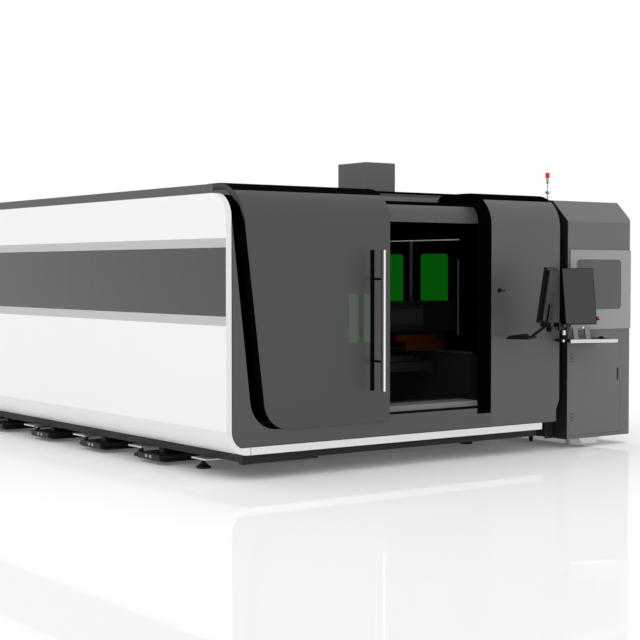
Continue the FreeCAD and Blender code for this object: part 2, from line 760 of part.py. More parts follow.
def front_fascia():
    low = FASCIA_LOW
    return canopy_sheet(INNER_Y, INNER_R, INNER_CROWN, low, 0, CAP_ANGLE, None, FASCIA_LEFT, SHELL_LEFT)


def door_track():
    """Black guide channel at the door's foot, and the sill plate of the doorway behind it."""
    face = box(FASCIA_LEFT, SHELL_LEFT, INNER_Y, INNER_Y + SHEET, SKIRT_TOP, SILL_TOP)
    y0, y1 = INNER_Y + SHEET, INNER_Y + SILL_DEPTH
    tread = box(FASCIA_LEFT, SHELL_LEFT, y0, y1, SILL_TOP - SHEET, SILL_TOP)
    floor = SKIRT_TOP - 62
    low = box(RIM_WIDTH + SHEET, SHELL_LEFT, 24, 140, floor, floor + 6)
    front = box(RIM_WIDTH + SHEET, SHELL_LEFT, 24, 30, floor + 6, floor + 50)
    back = box(RIM_WIDTH + SHEET, SHELL_LEFT, 134, 140, floor + 6, floor + 50)
    return group([fuse([low, front, back]), fuse([face, tread])])


def right_shell():
    notch_x = WIDTH - SHELL_NOTCH
    face = canopy_sheet(0, CANOPY_R, CANOPY_CROWN, STRIP_TOP, 0, CAP_ANGLE, None, SHELL_LEFT, WIDTH)
    outline = [(notch_x, SHELL_NOTCH_LOW), (WIDTH, SHELL_NOTCH_TOP), (WIDTH + 1, STRIP_TOP - 1)]
    face = face.cut(prism("xz", (notch_x, STRIP_TOP - 1), outline, -1, SHEET + 1))
    return face.cut(cylinder(BUTTON_R + RUN, (BUTTON_X, -1, BUTTON_Z), (0, 1, 0), SHEET + 2))


def door_button():
    """Push button of the door, with its cap in front of the shell and its stem behind."""
    front, length = BUTTON_REACH
    return cylinder(BUTTON_R, (BUTTON_X, -front, BUTTON_Z), (0, 1, 0), length)


def shell_rear_profile(edge):
    """Points from the back of the flat top, down the rear arc, to the level of the front roof."""
    centre = (SHELL_BACK, CANOPY_TOP - SHELL_REAR_R)
    radius = SHELL_REAR_R - edge
    foot = math.degrees(math.asin((FRONT_ROOF_TOP - centre[1]) / radius))
    return [on_arc(centre, radius, angle) for angle in (90, (90 + foot) / 2, foot)]


def shell_liner():
    """Black cap on top of the right shell and the black plates that close its two ends."""
    outer = shell_rear_profile(0)
    inner = shell_rear_profile(SHEET)
    centre = (CANOPY_R, CANOPY_CROWN)
    radius = CANOPY_R - SHEET
    middle = 180 - (CAP_ANGLE + 90) / 2
    cap_path = [
        (on_arc(centre, CANOPY_R, middle), (CANOPY_R, CANOPY_TOP)),
        outer[0],
        (outer[1], outer[2]),
        inner[2],
        (inner[1], inner[0]),
        (CANOPY_R, CANOPY_TOP - SHEET),
        (on_arc(centre, radius, middle), on_arc(centre, radius, 180 - CAP_ANGLE)),
    ]
    cap = prism("yz", on_arc(centre, CANOPY_R, 180 - CAP_ANGLE), cap_path, SHELL_LEFT, WIDTH)
    crown = [
        (SHEET, CANOPY_CROWN),
        (on_arc(centre, radius, 135), (CANOPY_R, CANOPY_TOP - SHEET)),
        inner[0],
        (inner[1], inner[2]),
    ]
    front_low = FRONT_ROOF_TOP
    arc = (on_arc((INNER_Y + INNER_R, front_low - INNER_R), INNER_R, 135), (INNER_Y, front_low - INNER_R))
    left_low = SKIRT_TOP - SKIRT_NOTCH[1]
    left_path = crown + [(INNER_Y + INNER_R, front_low), arc, (INNER_Y, left_low)]
    left = prism("yz", (SHEET, left_low), left_path, SHELL_LEFT, SHELL_LEFT + 2 * SHEET)
    right_path = crown + [(INNER_Y - GAP, front_low), (INNER_Y - GAP, SHELL_NOTCH_TOP)]
    right = prism("yz", (SHEET, SHELL_NOTCH_TOP), right_path, WIDTH - SHEET, WIDTH)
    panel_y = INNER_Y - GAP
    panel = box(WIDTH - SHEET, WIDTH, panel_y, SHELL_BACK + SHELL_REAR_R, front_low, UPPER_TOP)
    return group([cap.cut(panel), left, right.cut(panel)])


def recess_panels():
    """Black panels beside the shell: the strip between shell and housing and the housing's left wall."""
    strip = box(WIDTH, HOUSING_LEFT - SHEET, INNER_Y, INNER_Y + SHEET, HOUSING_LOW, FRONT_ROOF_TOP)
    roof_path = [(SHEET, HOUSING_BEND), (HOUSING_SLOPE, HOUSING_TOP - SHEET)]
    path = roof_path + [(HOUSING_LENGTH, HOUSING_TOP - SHEET), (HOUSING_LENGTH, HOUSING_LOW)]
    wall = prism("yz", (SHEET, HOUSING_LOW), path, HOUSING_LEFT - SHEET, HOUSING_LEFT)
    return group([strip, wall])


# ---------------------------------------------------------------- sliding door
def door_edge_outline():
    """Front outline of the door: slanted left edge, round lower corner and plain right edge."""
    on_slant, middle, bottom = slant_corner(DOOR_EDGE_X, DOOR_SLOPE, DOOR_CORNER_R, DOOR_LOW)
    top = CANOPY_TOP + 10
    path = [on_slant, (middle, bottom), (DOOR_RIGHT, DOOR_LOW), (DOOR_RIGHT, top)]
    return (slant_x(DOOR_EDGE_X, DOOR_SLOPE, top), top), path


def slanted_strip(offset, width, low, high, y0, y1):
    """Bar along the slanted edge, offset to the right of it."""
    def edge(z, shift):
        return (slant_x(DOOR_EDGE_X, DOOR_SLOPE, z) + shift, z)
    far = offset + width
    path = [edge(high, offset), edge(high, far), edge(low, far)]
    return prism("xz", edge(low, offset), path, y0, y1)


def sliding_door():
    start, path = door_edge_outline()
    sheet = canopy_sheet(DOOR_FACE, CANOPY_R, CANOPY_CROWN, DOOR_LOW, 0, CAP_ANGLE, None, 0, DOOR_RIGHT)
    skin = sheet.common(prism("xz", start, path, DOOR_FACE - 1, DOOR_BACK))
    x0, x1, z0, z1 = DOOR_WINDOW
    skin = skin.cut(box(x0, x1, DOOR_FACE - 1, DOOR_FACE + SHEET + 1, z0, z1))
    centre = (DOOR_FACE + CANOPY_R, CANOPY_CROWN)
    inner = CANOPY_R - SHEET
    top = CANOPY_CROWN + inner
    crescent = [
        (on_arc(centre, inner, 135), (centre[0], top)),
        (DOOR_BACK, top),
        (DOOR_BACK, top - CHEEK[0]),
        (centre[0] - CHEEK[1], top - CHEEK[2]),
        (DOOR_FACE + CHEEK[3], CANOPY_CROWN + CHEEK[4]),
    ]
    plate = prism("yz", (DOOR_FACE + SHEET, CANOPY_CROWN), crescent, 0, DOOR_RIGHT)
    cheek = plate.common(slanted_strip(0, SHEET, CANOPY_CROWN - 1, CANOPY_TOP, DOOR_FACE, DOOR_BACK))
    return fuse([skin, cheek])


def door_frame():
    """Black welded frame behind the skin, fused with the black cap of the canopy."""
    y0 = DOOR_FACE + SHEET
    y1 = y0 + DOOR_FRAME_DEPTH
    low = SKIRT_TOP + 12
    bar = DOOR_FRAME_BAR
    crown = CANOPY_CROWN - 60
    left = slanted_strip(8, bar, low + bar, crown, y0, y1)
    right = box(DOOR_RIGHT - 8 - bar, DOOR_RIGHT - 8, y0, y1, low, crown)
    foot_left = slant_x(DOOR_EDGE_X, DOOR_SLOPE, low) + 130
    foot_bar = box(foot_left, DOOR_RIGHT - 8, y0, y1, low, low + bar)
    top_left = slant_x(DOOR_EDGE_X, DOOR_SLOPE, crown) + 8
    head_bar = box(top_left, DOOR_RIGHT - 8, y0, y1, crown - bar, crown)
    corner_x = slant_x(DOOR_EDGE_X, DOOR_SLOPE, low + bar) + 8
    corner = prism("xz", (corner_x, low + bar), [(foot_left, low), (foot_left + 80, low + bar)], y0, y1)
    start, path = door_edge_outline()
    cap = canopy_sheet(DOOR_FACE, CANOPY_R, CANOPY_CROWN, None, CAP_ANGLE, 90, DOOR_BACK, 0, DOOR_RIGHT)
    cap = cap.common(prism("xz", start, path, DOOR_FACE - 1, DOOR_BACK + 1))
    ribs = []
    for x in (420.0, 980.0, DOOR_RIGHT - 40):
        ribs.append(canopy_rib(x, crown - bar))
    rail_feet = [box(x, x + 90, 50, y1, SKIRT_TOP - 50, low) for x in (600.0, DOOR_RIGHT - 200)]
    return fuse([left, right, foot_bar, head_bar, corner, cap] + ribs + rail_feet)


def canopy_rib(x, low):
    """Curved rib under the canopy that joins the frame's head bar to the cap."""
    centre = (DOOR_FACE + CANOPY_R, CANOPY_CROWN)
    outer = CANOPY_R - SHEET
    inner = CANOPY_R - 40
    path = [
        (DOOR_FACE + SHEET, CANOPY_CROWN),
        (on_arc(centre, outer, 135), (centre[0], CANOPY_CROWN + outer)),
        (centre[0], CANOPY_CROWN + inner),
        (on_arc(centre, inner, 135), (DOOR_FACE + 40, CANOPY_CROWN)),
        (DOOR_FACE + 40, low),
    ]
    return prism("yz", (DOOR_FACE + SHEET, low), path, x, x + 24)


def door_window():
    x0, x1, z0, z1 = DOOR_WINDOW
    return box(x0, x1, DOOR_FACE, DOOR_FACE + SHEET, z0, z1)


def handle_front_bar():
    y = DOOR_FACE - HANDLE_STANDOFF
    return cylinder(HANDLE_R, (HANDLE_X, y, HANDLE_LOW), (0, 0, 1), HANDLE_HIGH - HANDLE_LOW)


def handle_back_bar():
    half = HANDLE_BACK_WIDTH / 2
    front = DOOR_FACE - HANDLE_BACK_DEPTH
    plate = box(HANDLE_X - half, HANDLE_X + half, front, DOOR_FACE, HANDLE_LOW, HANDLE_HIGH)
    posts = []
    reach = HANDLE_STANDOFF - HANDLE_BACK_DEPTH
    for z in HANDLE_POSTS:
        start = (HANDLE_X, DOOR_FACE - HANDLE_STANDOFF, z)
        posts.append(cylinder(HANDLE_POST_R, start, (0, 1, 0), reach))
    bar = fuse([plate] + posts)
    return bar.cut(handle_front_bar())


# ---------------------------------------------------------------- cabin interior
def green_places():
    count = int((CABIN_REAR - GREEN_FIRST - GREEN_WIDTH) / GREEN_PITCH) + 1
    return [GREEN_FIRST + GREEN_PITCH * i for i in range(count)]


def green_pane(y, extra):
    """Window pane, or with extra the hole that it sits in."""
    low = WALL_X - extra
    high = WALL_X + SHEET + extra
    return rounded("yz", y, y + GREEN_WIDTH, GREEN_LOW, GREEN_HIGH, GREEN_R, low, high)


def inner_side_wall():
    wall = box(WALL_X, WALL_X + SHEET, WALL_FRONT, CABIN_REAR, WALL_LOW, WALL_TOP)
    for y in green_places():
        wall = wall.cut(green_pane(y, 1))
    posts = []
    for y in green_places()[:-1]:
        middle = y + (GREEN_WIDTH + GREEN_PITCH) / 2
        y0, y1 = middle - LAMP_SIZE / 2, middle + LAMP_SIZE / 2
        posts.append(box(WALL_X - LAMP_SIZE, WALL_X, y0, y1, GREEN_LOW - 60, LAMP_Z))
    return group([wall] + posts)


def green_windows():
    return group([green_pane(y, 0) for y in green_places()])


def light_strip():
    x0 = WALL_X - LAMP_SIZE
    return box(x0, WALL_X, WALL_FRONT, CABIN_REAR - 500, LAMP_Z, LAMP_Z + LAMP_HEIGHT)


# ---------------------------------------------------------------- gantry
def gantry_beam():
    """Beam on two end trucks, with the two guides that the carriage runs on."""
    y0, y1 = GANTRY_Y, GANTRY_Y + GANTRY_DEPTH
    beam = box(GANTRY_LEFT, GANTRY_RIGHT, y0, y1, GANTRY_LOW, GANTRY_HIGH)
    low = BED_TOP + RAIL + RUN
    half = TRUCK_WIDTH / 2
    trucks = []
    for x0, x1 in bed_places():
        middle = (x0 + x1) / 2
        y1 = TRUCK_FRONT + TRUCK_LENGTH
        trucks.append(box(middle - half, middle + half, TRUCK_FRONT, y1, low, GANTRY_LOW))
    guides = []
    for z in GUIDE_Z:
        guides.append(box(GANTRY_LEFT + 40, BED_RIGHT, y0 - GUIDE_T, y0, z, z + GUIDE_H))
    return fuse([beam] + trucks + guides)


def gantry_drive():
    """Drive covers in front of the right end truck."""
    covers = []
    for x0, x1, low, high in (DRIVE_LOW, DRIVE_HIGH):
        covers.append(box(x0, x1, TRUCK_FRONT - DRIVE_DEPTH, TRUCK_FRONT, low, high))
    return fuse(covers)


def x_carriage():
    low, high = CARRIAGE_Z
    half = CARRIAGE_WIDTH / 2
    front = GANTRY_Y - GUIDE_T - RUN
    plate = box(HEAD_X - half, HEAD_X + half, front - 40, front, low, high)
    mast = box(HEAD_X - 70, HEAD_X + 70, HEAD_Y + HEAD_R + 22, front - 40, low + 40, high)
    roof = box(HEAD_X - half, HEAD_X + half, front - 40, GANTRY_Y + 120, high - 50, high)
    return fuse([plate, mast, roof])


def cutting_head():
    """Head body, collimator, cone and nozzle in one turned shape, with its slide plate."""
    x, y, tip = HEAD_X, HEAD_Y, HEAD_REST_TIP
    nozzle = Part.makeCone(5, 16, 30, Vector(x, y, tip), Vector(0, 0, 1))
    cone = Part.makeCone(20, HEAD_R, 60, Vector(x, y, tip + 30), Vector(0, 0, 1))
    body = cylinder(HEAD_R, (x, y, tip + 90), (0, 0, 1), 330)
    cap = cylinder(26, (x, y, tip + 420), (0, 0, 1), 90)
    slide = box(x - 60, x + 60, y, y + HEAD_R + 22 - RUN, tip + 150, tip + 360)
    return fuse([nozzle, cone, body, cap, slide])


# ---------------------------------------------------------------- tube housing
def housing_plan(left, inset, rear, low, high):
    """Footprint with the round corner at the right front, set in by the given amount."""
    right = HOUSING_RIGHT - inset
    centre = (HOUSING_RIGHT - HOUSING_R, HOUSING_R)
    arc = (on_arc(centre, HOUSING_R - inset, 315), (right, HOUSING_R))
    path = [(centre[0], inset), arc, (right, rear), (left, rear)]
    return prism("xy", (left, inset), path, low, high)


def housing_profile(inset, left, right):
    """Side view: upright front, sloped front of the roof, level top."""
    top = HOUSING_TOP - inset
    rear = HOUSING_LENGTH - inset
    path = [(inset, HOUSING_BEND), (HOUSING_SLOPE, top), (rear, top), (rear, HOUSING_LOW)]
    return prism("yz", (inset, HOUSING_LOW), path, left, right)


def housing_shell():
    """Grey casing over the tube chucks: front with two openings, roof, right wall, rear."""
    x0, x1 = HOUSING_LEFT, HOUSING_RIGHT
    low, top, rear = HOUSING_LOW, HOUSING_TOP, HOUSING_LENGTH
    outer = housing_plan(x0 - SHEET, 0, rear, low, top)
    outer = outer.common(housing_profile(0, x0 - SHEET - 1, x1 + 1))
    inner = housing_plan(x0 - SHEET - 1, SHEET, rear - SHEET, low - 1, top)
    inner = inner.common(housing_profile(SHEET, x0 - SHEET - 2, x1 + 1))
    shell = outer.cut(inner)
    shell = shell.cut(box(x0 - SHEET - 1, x1 - SHEET, SHEET, rear - SHEET, low - 1, low + 1))
    border = HATCH_BORDER
    hx0, _, hz0, hz1 = HATCH
    z0, z1 = hz0 + border, hz1 - border
    clear = HOUSING_R + 5
    shell = shell.cut(box(hx0 + border, x1 - clear, -1, SHEET + 1, z0, z1))
    shell = shell.cut(box(x1 - SHEET - 1, x1 + 1, clear, HATCH_SIDE - border, z0, z1))
    cx0, cx1, cz0, cz1 = CABINET_DOOR
    shell = shell.cut(box(cx0 - GAP, cx1 + GAP, -1, SHEET + 1, cz0 - GAP, cz1 + GAP))
    y0, y1 = rear - SHEET - 1, rear + 1
    shell = shell.cut(box(x0 - SHEET - 1, x0, y0, y1, low - 1, top - SHEET))
    shell = shell.cut(box(x0, x1 - SHEET, y0, y1, low - 1, TUBE_TOP + 40))
    reach = CHUCK_R + 15
    tube = box(TUBE_X - reach, TUBE_X + reach, y0, y1, TUBE_Z - reach, TUBE_Z + reach)
    return shell.cut(tube)


def hatch():
    """Cover that wraps round the housing's right front corner."""
    x0, x1, z0, z1 = HATCH
    centre = (HOUSING_RIGHT - HOUSING_R, HOUSING_R)
    outer = x1 - centre[0]
    inner = outer - HATCH_T
    front = centre[1] - outer
    path = [
        (centre[0], front),
        (on_arc(centre, outer, 315), (x1, centre[1])),
        (x1, HATCH_SIDE),
        (x1 - HATCH_T, HATCH_SIDE),
        (x1 - HATCH_T, centre[1]),
        (on_arc(centre, inner, 315), (centre[0], front + HATCH_T)),
        (x0, front + HATCH_T),
    ]
    body = prism("xy", (x0, front), path, z0, z1)
    return body.cut(rounded("xz", *HATCH_WINDOW, HATCH_WINDOW_R, front - 1, 0))


def hatch_window():
    middle = -GAP - HATCH_T / 2
    half = SHEET / 2
    return rounded("xz", *HATCH_WINDOW, HATCH_WINDOW_R, middle - half, middle + half)


def console_cabinet():
    """Steel box behind the cabinet door: floor, top, two sides and back."""
    x0 = HOUSING_LEFT
    x1 = CABINET_DOOR[1] + 20
    y0, y1 = SHEET, CABINET_DEPTH
    z0, z1 = HOUSING_LOW, DESK_LOW + DESK_T + 8
    floor = box(x0, x1, y0, y1, z0, z0 + SHEET)
    top = box(x0, x1, y0, y1, z1 - SHEET, z1)
    back = box(x0 + SHEET, x1 - SHEET, y1 - SHEET, y1, z0 + SHEET, z1 - SHEET)
    sides = [box(x, x + SHEET, y0, y1, z0 + SHEET, z1 - SHEET) for x in (x0, x1 - SHEET)]
    return fuse([floor, top, back] + sides)


def cabinet_door():
    x0, x1, z0, z1 = CABINET_DOOR
    panel = box(x0, x1, 0, CABINET_DOOR_T, z0, z1)
    hollow = box(x0 + 12, x1 - 12, SHEET, CABINET_DOOR_T + 1, z0 + 12, z1 - 12)
    panel = panel.cut(hollow)
    sx0, sx1, sz0, sz1 = LATCH_SLOT
    return panel.cut(box(x1 - sx0, x1 - sx1, -1, SHEET + 1, sz0, sz1))


# ---------------------------------------------------------------- console
def console_point(along, back, z):
    """Point of the console's own frame: along the desk rail, back from it, and height."""
    angle = math.radians(CONSOLE_TURN)
    x = DESK_CORNER[0] + along * math.cos(angle) + back * math.sin(angle)
    y = DESK_CORNER[1] - along * math.sin(angle) + back * math.cos(angle)
    return (x, y, z)


def desk_top():
    """Desk plate whose front edge turns towards the left and whose back follows the cabinet."""
    left = console_point(0, 0, 0)
    right = console_point(DESK_WIDTH, 0, 0)
    low = DESK_LOW + 6
    outline = [right[:2], (right[0] + 110, -GAP), (left[0] + 10, -GAP)]
    plate = prism("xy", left[:2], outline, low, low + DESK_T)
    boss = cylinder(POST_R + 5, (*POST, low + DESK_T), (0, 0, 1), POST_BOSS)
    hole = cylinder(POST_R, (*POST, low - 1), (0, 0, 1), DESK_T + POST_BOSS + 2)
    return fuse([plate, boss]).cut(hole)


def desk_rail():
    """Bright rail along the front edge of the desk."""
    depth, height = DESK_RAIL
    bar = box(0, DESK_WIDTH, -depth, 0, DESK_LOW, DESK_LOW + height)
    bar.rotate(Vector(0, 0, 0), Vector(0, 0, 1), -CONSOLE_TURN)
    bar.translate(Vector(DESK_CORNER[0], DESK_CORNER[1], 0))
    return bar


def stand_up(shape, point, turn, tilt):
    """Place a piece drawn facing -Y with its foot at the origin: tilt it back, turn it, move it."""
    piece = shape.copy()
    piece.rotate(Vector(0, 0, 0), Vector(1, 0, 0), -tilt)
    piece.rotate(Vector(0, 0, 0), Vector(0, 0, 1), turn)
    piece.translate(Vector(*point))
    return piece


def display(width, height, thickness):
    """Flat display with a raised back cover."""
    half = width / 2
    front = rounded("xz", -half, half, 0, height, 6, 0, thickness * 0.6)
    back = box(-half + 20, half - 20, thickness * 0.6, thickness, 20, height - 20)
    return fuse([front, back])


def main_monitor():
    """Display with a small box on its right edge that carries the stop button."""
    half = MONITOR_W / 2
    reach = ESTOP_R + 5
    case = box(half, half + ESTOP_OUT + reach, 2, 22, ESTOP_Z - reach, ESTOP_Z + reach)
    hole = cylinder(ESTOP_STEM_R + RUN, (half + ESTOP_OUT, 0, ESTOP_Z), (0, 1, 0), 23)
    shape = fuse([display(MONITOR_W, MONITOR_H, MONITOR_T), case]).cut(hole)
    return stand_up(shape, (*MONITOR_POINT, MONITOR_LOW), -CONSOLE_TURN, MONITOR_TILT)


def monitor_stand():
    """Bright cross bar under the display on two leaning legs and a foot plate."""
    desk_z = DESK_LOW + 6 + DESK_T
    rise = MONITOR_LOW - desk_z
    bar = box(-105, 50, -4, 26, rise - 26, rise - 6)
    legs = []
    for x in (-72, 46):
        legs.append(prism("xz", (x, 10), [(x + 46, 10), (x + 30, rise - 26), (x - 16, rise - 26)], 2, 20))
    foot_plate = box(-85, 100, -8, 40, 0, 10)
    shape = fuse([bar, foot_plate] + legs)
    shape.rotate(Vector(0, 0, 0), Vector(0, 0, 1), -CONSOLE_TURN)
    shape.translate(Vector(*MONITOR_POINT, desk_z))
    return shape


def estop_button():
    x = MONITOR_W / 2 + ESTOP_OUT
    stem = cylinder(ESTOP_STEM_R, (x, -6, ESTOP_Z), (0, 1, 0), 18)
    head = Part.makeCone(ESTOP_R, ESTOP_R - 2, 10, Vector(x, -6, ESTOP_Z), Vector(0, -1, 0))
    dome = Part.makeCone(ESTOP_R - 2, ESTOP_R - 8, 4, Vector(x, -16, ESTOP_Z), Vector(0, -1, 0))
    return stand_up(fuse([stem, head, dome]), (*MONITOR_POINT, MONITOR_LOW), -CONSOLE_TURN, MONITOR_TILT)


def arm_post():
    """Chrome post that stands in the corner of the desk, its pin and the knob on top."""
    low = DESK_LOW + 6
    post = cylinder(POST_R, (*POST, low), (0, 0, 1), HUB_Z[0] - RUN - low)
    pin = cylinder(PIN_R, (*POST, low), (0, 0, 1), HUB_Z[1] + 4 - low)
    knob = cylinder(POST_R, (*POST, HUB_Z[1] + RUN), (0, 0, 1), 20)
    return fuse([post, pin, knob])


def arm_link():
    """Black arm from the post to the second monitor; its ring lies below the bar."""
    dx, dy = ARM_END[0] - POST[0], ARM_END[1] - POST[1]
    length = math.hypot(dx, dy)
    low, high = ARM_Z
    half = ARM_WIDTH / 2
    bar = box(POST_R + 5, length, -half, half, low + 4, high - 4)
    hub = cylinder(half + 5, (0, 0, HUB_Z[0]), (0, 0, 1), HUB_Z[1] - HUB_Z[0])
    end = cylinder(half + 2, (length, 0, low), (0, 0, 1), high - low)
    clamp = box(250, 330, -half - 8, half + 8, low, ARM_CLAMP_TOP)
    shape = fuse([bar, hub, end, clamp])
    shape = shape.cut(cylinder(PIN_R + PIN_CLEAR, (0, 0, HUB_Z[0] - 1), (0, 0, 1), high - HUB_Z[0] + 2))
    shape = shape.cut(cylinder(PIN_R + PIN_CLEAR, (length, 0, low - 1), (0, 0, 1), high - low + 2))
    shape.rotate(Vector(0, 0, 0), Vector(0, 0, 1), math.degrees(math.atan2(dy, dx)))
    shape.translate(Vector(*POST, 0))
    return shape


def face_side_unit(shape):
    """Turn a piece drawn facing -Y so that it faces the way the second monitor does."""
    piece = shape.copy()
    piece.rotate(Vector(0, 0, 0), Vector(0, 0, 1), SIDE_TURN + 90)
    piece.translate(Vector(*ARM_END, 0))
    return piece


def side_monitor():
    shape = display(SIDE_W, SIDE_H, SIDE_T)
    shape.rotate(Vector(0, 0, 0), Vector(1, 0, 0), -SIDE_TILT)
    shape.translate(Vector(0, -SIDE_OFFSET, SIDE_LOW))
    return face_side_unit(shape)


def keyboard_tray():
    """Tray on two slanted struts, with the block under the second monitor and its swivel pin."""
    pin = cylinder(PIN_R, (0, 0, ARM_Z[0] - 4), (0, 0, 1), ARM_Z[1] - ARM_Z[0] + 8)
    block = box(-50, 50, -SIDE_OFFSET, 26, ARM_Z[1] + 4, SIDE_LOW - 8)
    back = box(-40, 40, SIDE_T, SIDE_T + 14, -20, 160)
    back.rotate(Vector(0, 0, 0), Vector(1, 0, 0), -SIDE_TILT)
    back.translate(Vector(0, -SIDE_OFFSET, SIDE_LOW))
    reach = TRAY_REACH - TRAY_D / 2 + 30
    struts = []
    top = ARM_Z[1] + 4
    low = TRAY_Z + TRAY_T
    for x in (-48, 34):
        outline = [(-reach + 26, low), (-2, top + 20), (-24, top + 20)]
        struts.append(prism("yz", (-reach, low), outline, x, x + 14))
    half = TRAY_W / 2
    y0 = -TRAY_REACH - TRAY_D / 2
    plate = rounded("xy", -half, half, y0, y0 + TRAY_D, 14, TRAY_Z, TRAY_Z + TRAY_T)
    return face_side_unit(fuse([pin, block, back, plate] + struts))


def keyboard():
    half = TRAY_W / 2 - 16
    y0 = -TRAY_REACH - TRAY_D / 2 + 12
    z = TRAY_Z + TRAY_T
    path = [(y0 + 118, z), (y0 + 118, z + 22), (y0, z + 10)]
    return face_side_unit(prism("yz", (y0, z), path, -half, half))


# ---------------------------------------------------------------- signal lamp
def lamp_pole():
    """Foot plate, lower tube, swivel joint, thin upper tube and the lamp's socket."""
    x, y = LAMP_POLE
    roof = HOUSING_TOP
    joint_z = roof + LAMP_JOINT
    base = cylinder(32, (x, y, roof), (0, 0, 1), 10)
    lower = cylinder(7, (x, y, roof + 10), (0, 0, 1), LAMP_JOINT - 20)
    joint = cylinder(13, (x - 16, y, joint_z), (1, 0, 0), 32)
    upper = cylinder(5, (x, y, joint_z), (0, 0, 1), 80)
    flange = Part.makeCone(5, 14, 14, Vector(x, y, joint_z + 80), Vector(0, 0, 1))
    neck_low = joint_z + 94
    neck = cylinder(12, (x, y, neck_low), (0, 0, 1), roof + LAMP_FOOT - neck_low)
    return fuse([base, lower, joint, upper, flange, neck])


def lamp_red():
    x, y = LAMP_POLE
    low = HOUSING_TOP + LAMP_FOOT
    body = cylinder(LAMP_R, (x, y, low), (0, 0, 1), LAMP_LENS)
    crown = Part.makeCone(LAMP_R, LAMP_R - 5, 6, Vector(x, y, low + LAMP_LENS), Vector(0, 0, 1))
    return fuse([body, crown])


# ---------------------------------------------------------------- tube section
def tube_bed():
    parts = []
    left = TUBE_X - TUBE_HALF
    right = TUBE_X + TUBE_HALF
    for x0 in (left, right - TUBE_GIRDER):
        parts.append(box(x0, x0 + TUBE_GIRDER, TUBE_FRONT, TUBE_REAR, 150, TUBE_TOP))
    count = 6
    step = (TUBE_REAR - TUBE_FRONT - 120) / (count - 1)
    for i in range(count):
        y = TUBE_FRONT + i * step
        parts.append(box(left + TUBE_GIRDER, right - TUBE_GIRDER, y, y + 120, 200, 620))
    return group(parts)


def chuck_stand(y0, low):
    """Upright housing with the bore that the chuck turns in."""
    half = TUBE_HALF
    z0 = low
    top = TUBE_Z + CHUCK_R + 130
    block = box(TUBE_X - half, TUBE_X + half, y0, y0 + STAND_DEPTH, z0, top - 90)
    head = rounded("xz", TUBE_X - half, TUBE_X + half, z0 + 150, top, 120, y0, y0 + STAND_DEPTH)
    bore = cylinder(CHUCK_R + CHUCK_GAP, (TUBE_X, y0 - 1, TUBE_Z), (0, 1, 0), STAND_DEPTH + 2)
    return fuse([block, head]).cut(bore)


def chuck(y0):
    """Hollow chuck with four jaws on its front face."""
    front = y0 - (CHUCK_LENGTH - STAND_DEPTH) / 2
    body = cylinder(CHUCK_R, (TUBE_X, front, TUBE_Z), (0, 1, 0), CHUCK_LENGTH)
    bore = cylinder(CHUCK_BORE, (TUBE_X, front - 1, TUBE_Z), (0, 1, 0), CHUCK_LENGTH + 2)
    jaws = []
    for i in range(4):
        z0, z1 = TUBE_Z + CHUCK_BORE - 20, TUBE_Z + CHUCK_R - 15
        jaw = box(TUBE_X - 22, TUBE_X + 22, front - 50, front, z0, z1)
        jaw.rotate(Vector(TUBE_X, 0, TUBE_Z), Vector(0, 1, 0), 90 * i)
        jaws.append(jaw)
    return fuse([body.cut(bore)] + jaws)


# ---------------------------------------------------------------- export
NODES = {
    "base_frame": base_frame,
    "levelling_feet": levelling_feet,
    "foot_plates": foot_plates,
    "cross_channels": cross_channels,
    "machine_bed": machine_bed,
    "guide_rails": gantry_rails,
    "pallet_frame": pallet_frame,
    "pallet_slats": pallet_slats,
    "front_trim": front_trim,
    "lower_side_panels": lower_side_panels,
    "side_chamfers": side_chamfers,
    "side_window_bands": side_window_bands,
    "upper_side_panels": upper_side_panels,
    "main_roof": main_roof,
    "front_roof": front_roof,
    "extraction_box": extraction_box,
    "rear_wall": rear_wall,
    "pallet_door": pallet_door,
    "front_surround": front_surround,
    "inner_front_wall": inner_front_wall,
    "front_fascia": front_fascia,
    "door_track": door_track,
    "right_shell": right_shell,
    "door_button": door_button,
    "shell_liner": shell_liner,
    "recess_panels": recess_panels,
    "sliding_door": sliding_door,
    "door_frame": door_frame,
    "door_window": door_window,
    "handle_front_bar": handle_front_bar,
    "handle_back_bar": handle_back_bar,
    "inner_side_wall": inner_side_wall,
    "green_windows": green_windows,
    "light_strip": light_strip,
    "gantry_beam": gantry_beam,
    "gantry_drive": gantry_drive,
    "x_carriage": x_carriage,
    "cutting_head": cutting_head,
    "housing_shell": housing_shell,
    "hatch": hatch,
    "hatch_window": hatch_window,
    "console_cabinet": console_cabinet,
    "cabinet_door": cabinet_door,
    "desk_top": desk_top,
    "desk_rail": desk_rail,
    "main_monitor": main_monitor,
    "monitor_stand": monitor_stand,
    "estop_button": estop_button,
    "arm_post": arm_post,
    "arm_link": arm_link,
    "side_monitor": side_monitor,
    "keyboard_tray": keyboard_tray,
    "keyboard": keyboard,
    "lamp_pole": lamp_pole,
    "lamp_red": lamp_red,
    "tube_bed": tube_bed,
    "front_chuck_stand": lambda: chuck_stand(FRONT_STAND_Y, TUBE_TOP),
    "front_chuck": lambda: chuck(FRONT_STAND_Y),
    "rear_chuck_stand": lambda: chuck_stand(REAR_STAND_Y, TUBE_TOP + RAIL + RUN),
    "rear_chuck": lambda: chuck(REAR_STAND_Y),
}

os.makedirs("parts", exist_ok=True)
for name, make in NODES.items():
    shape = make()
    shape.translate(Vector(-CENTRE.x, -CENTRE.y, 0))
    shape.exportStep(os.path.join("parts", name + ".step"))
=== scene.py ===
import bmesh
import bpy
import math
from mathutils import Matrix, Vector


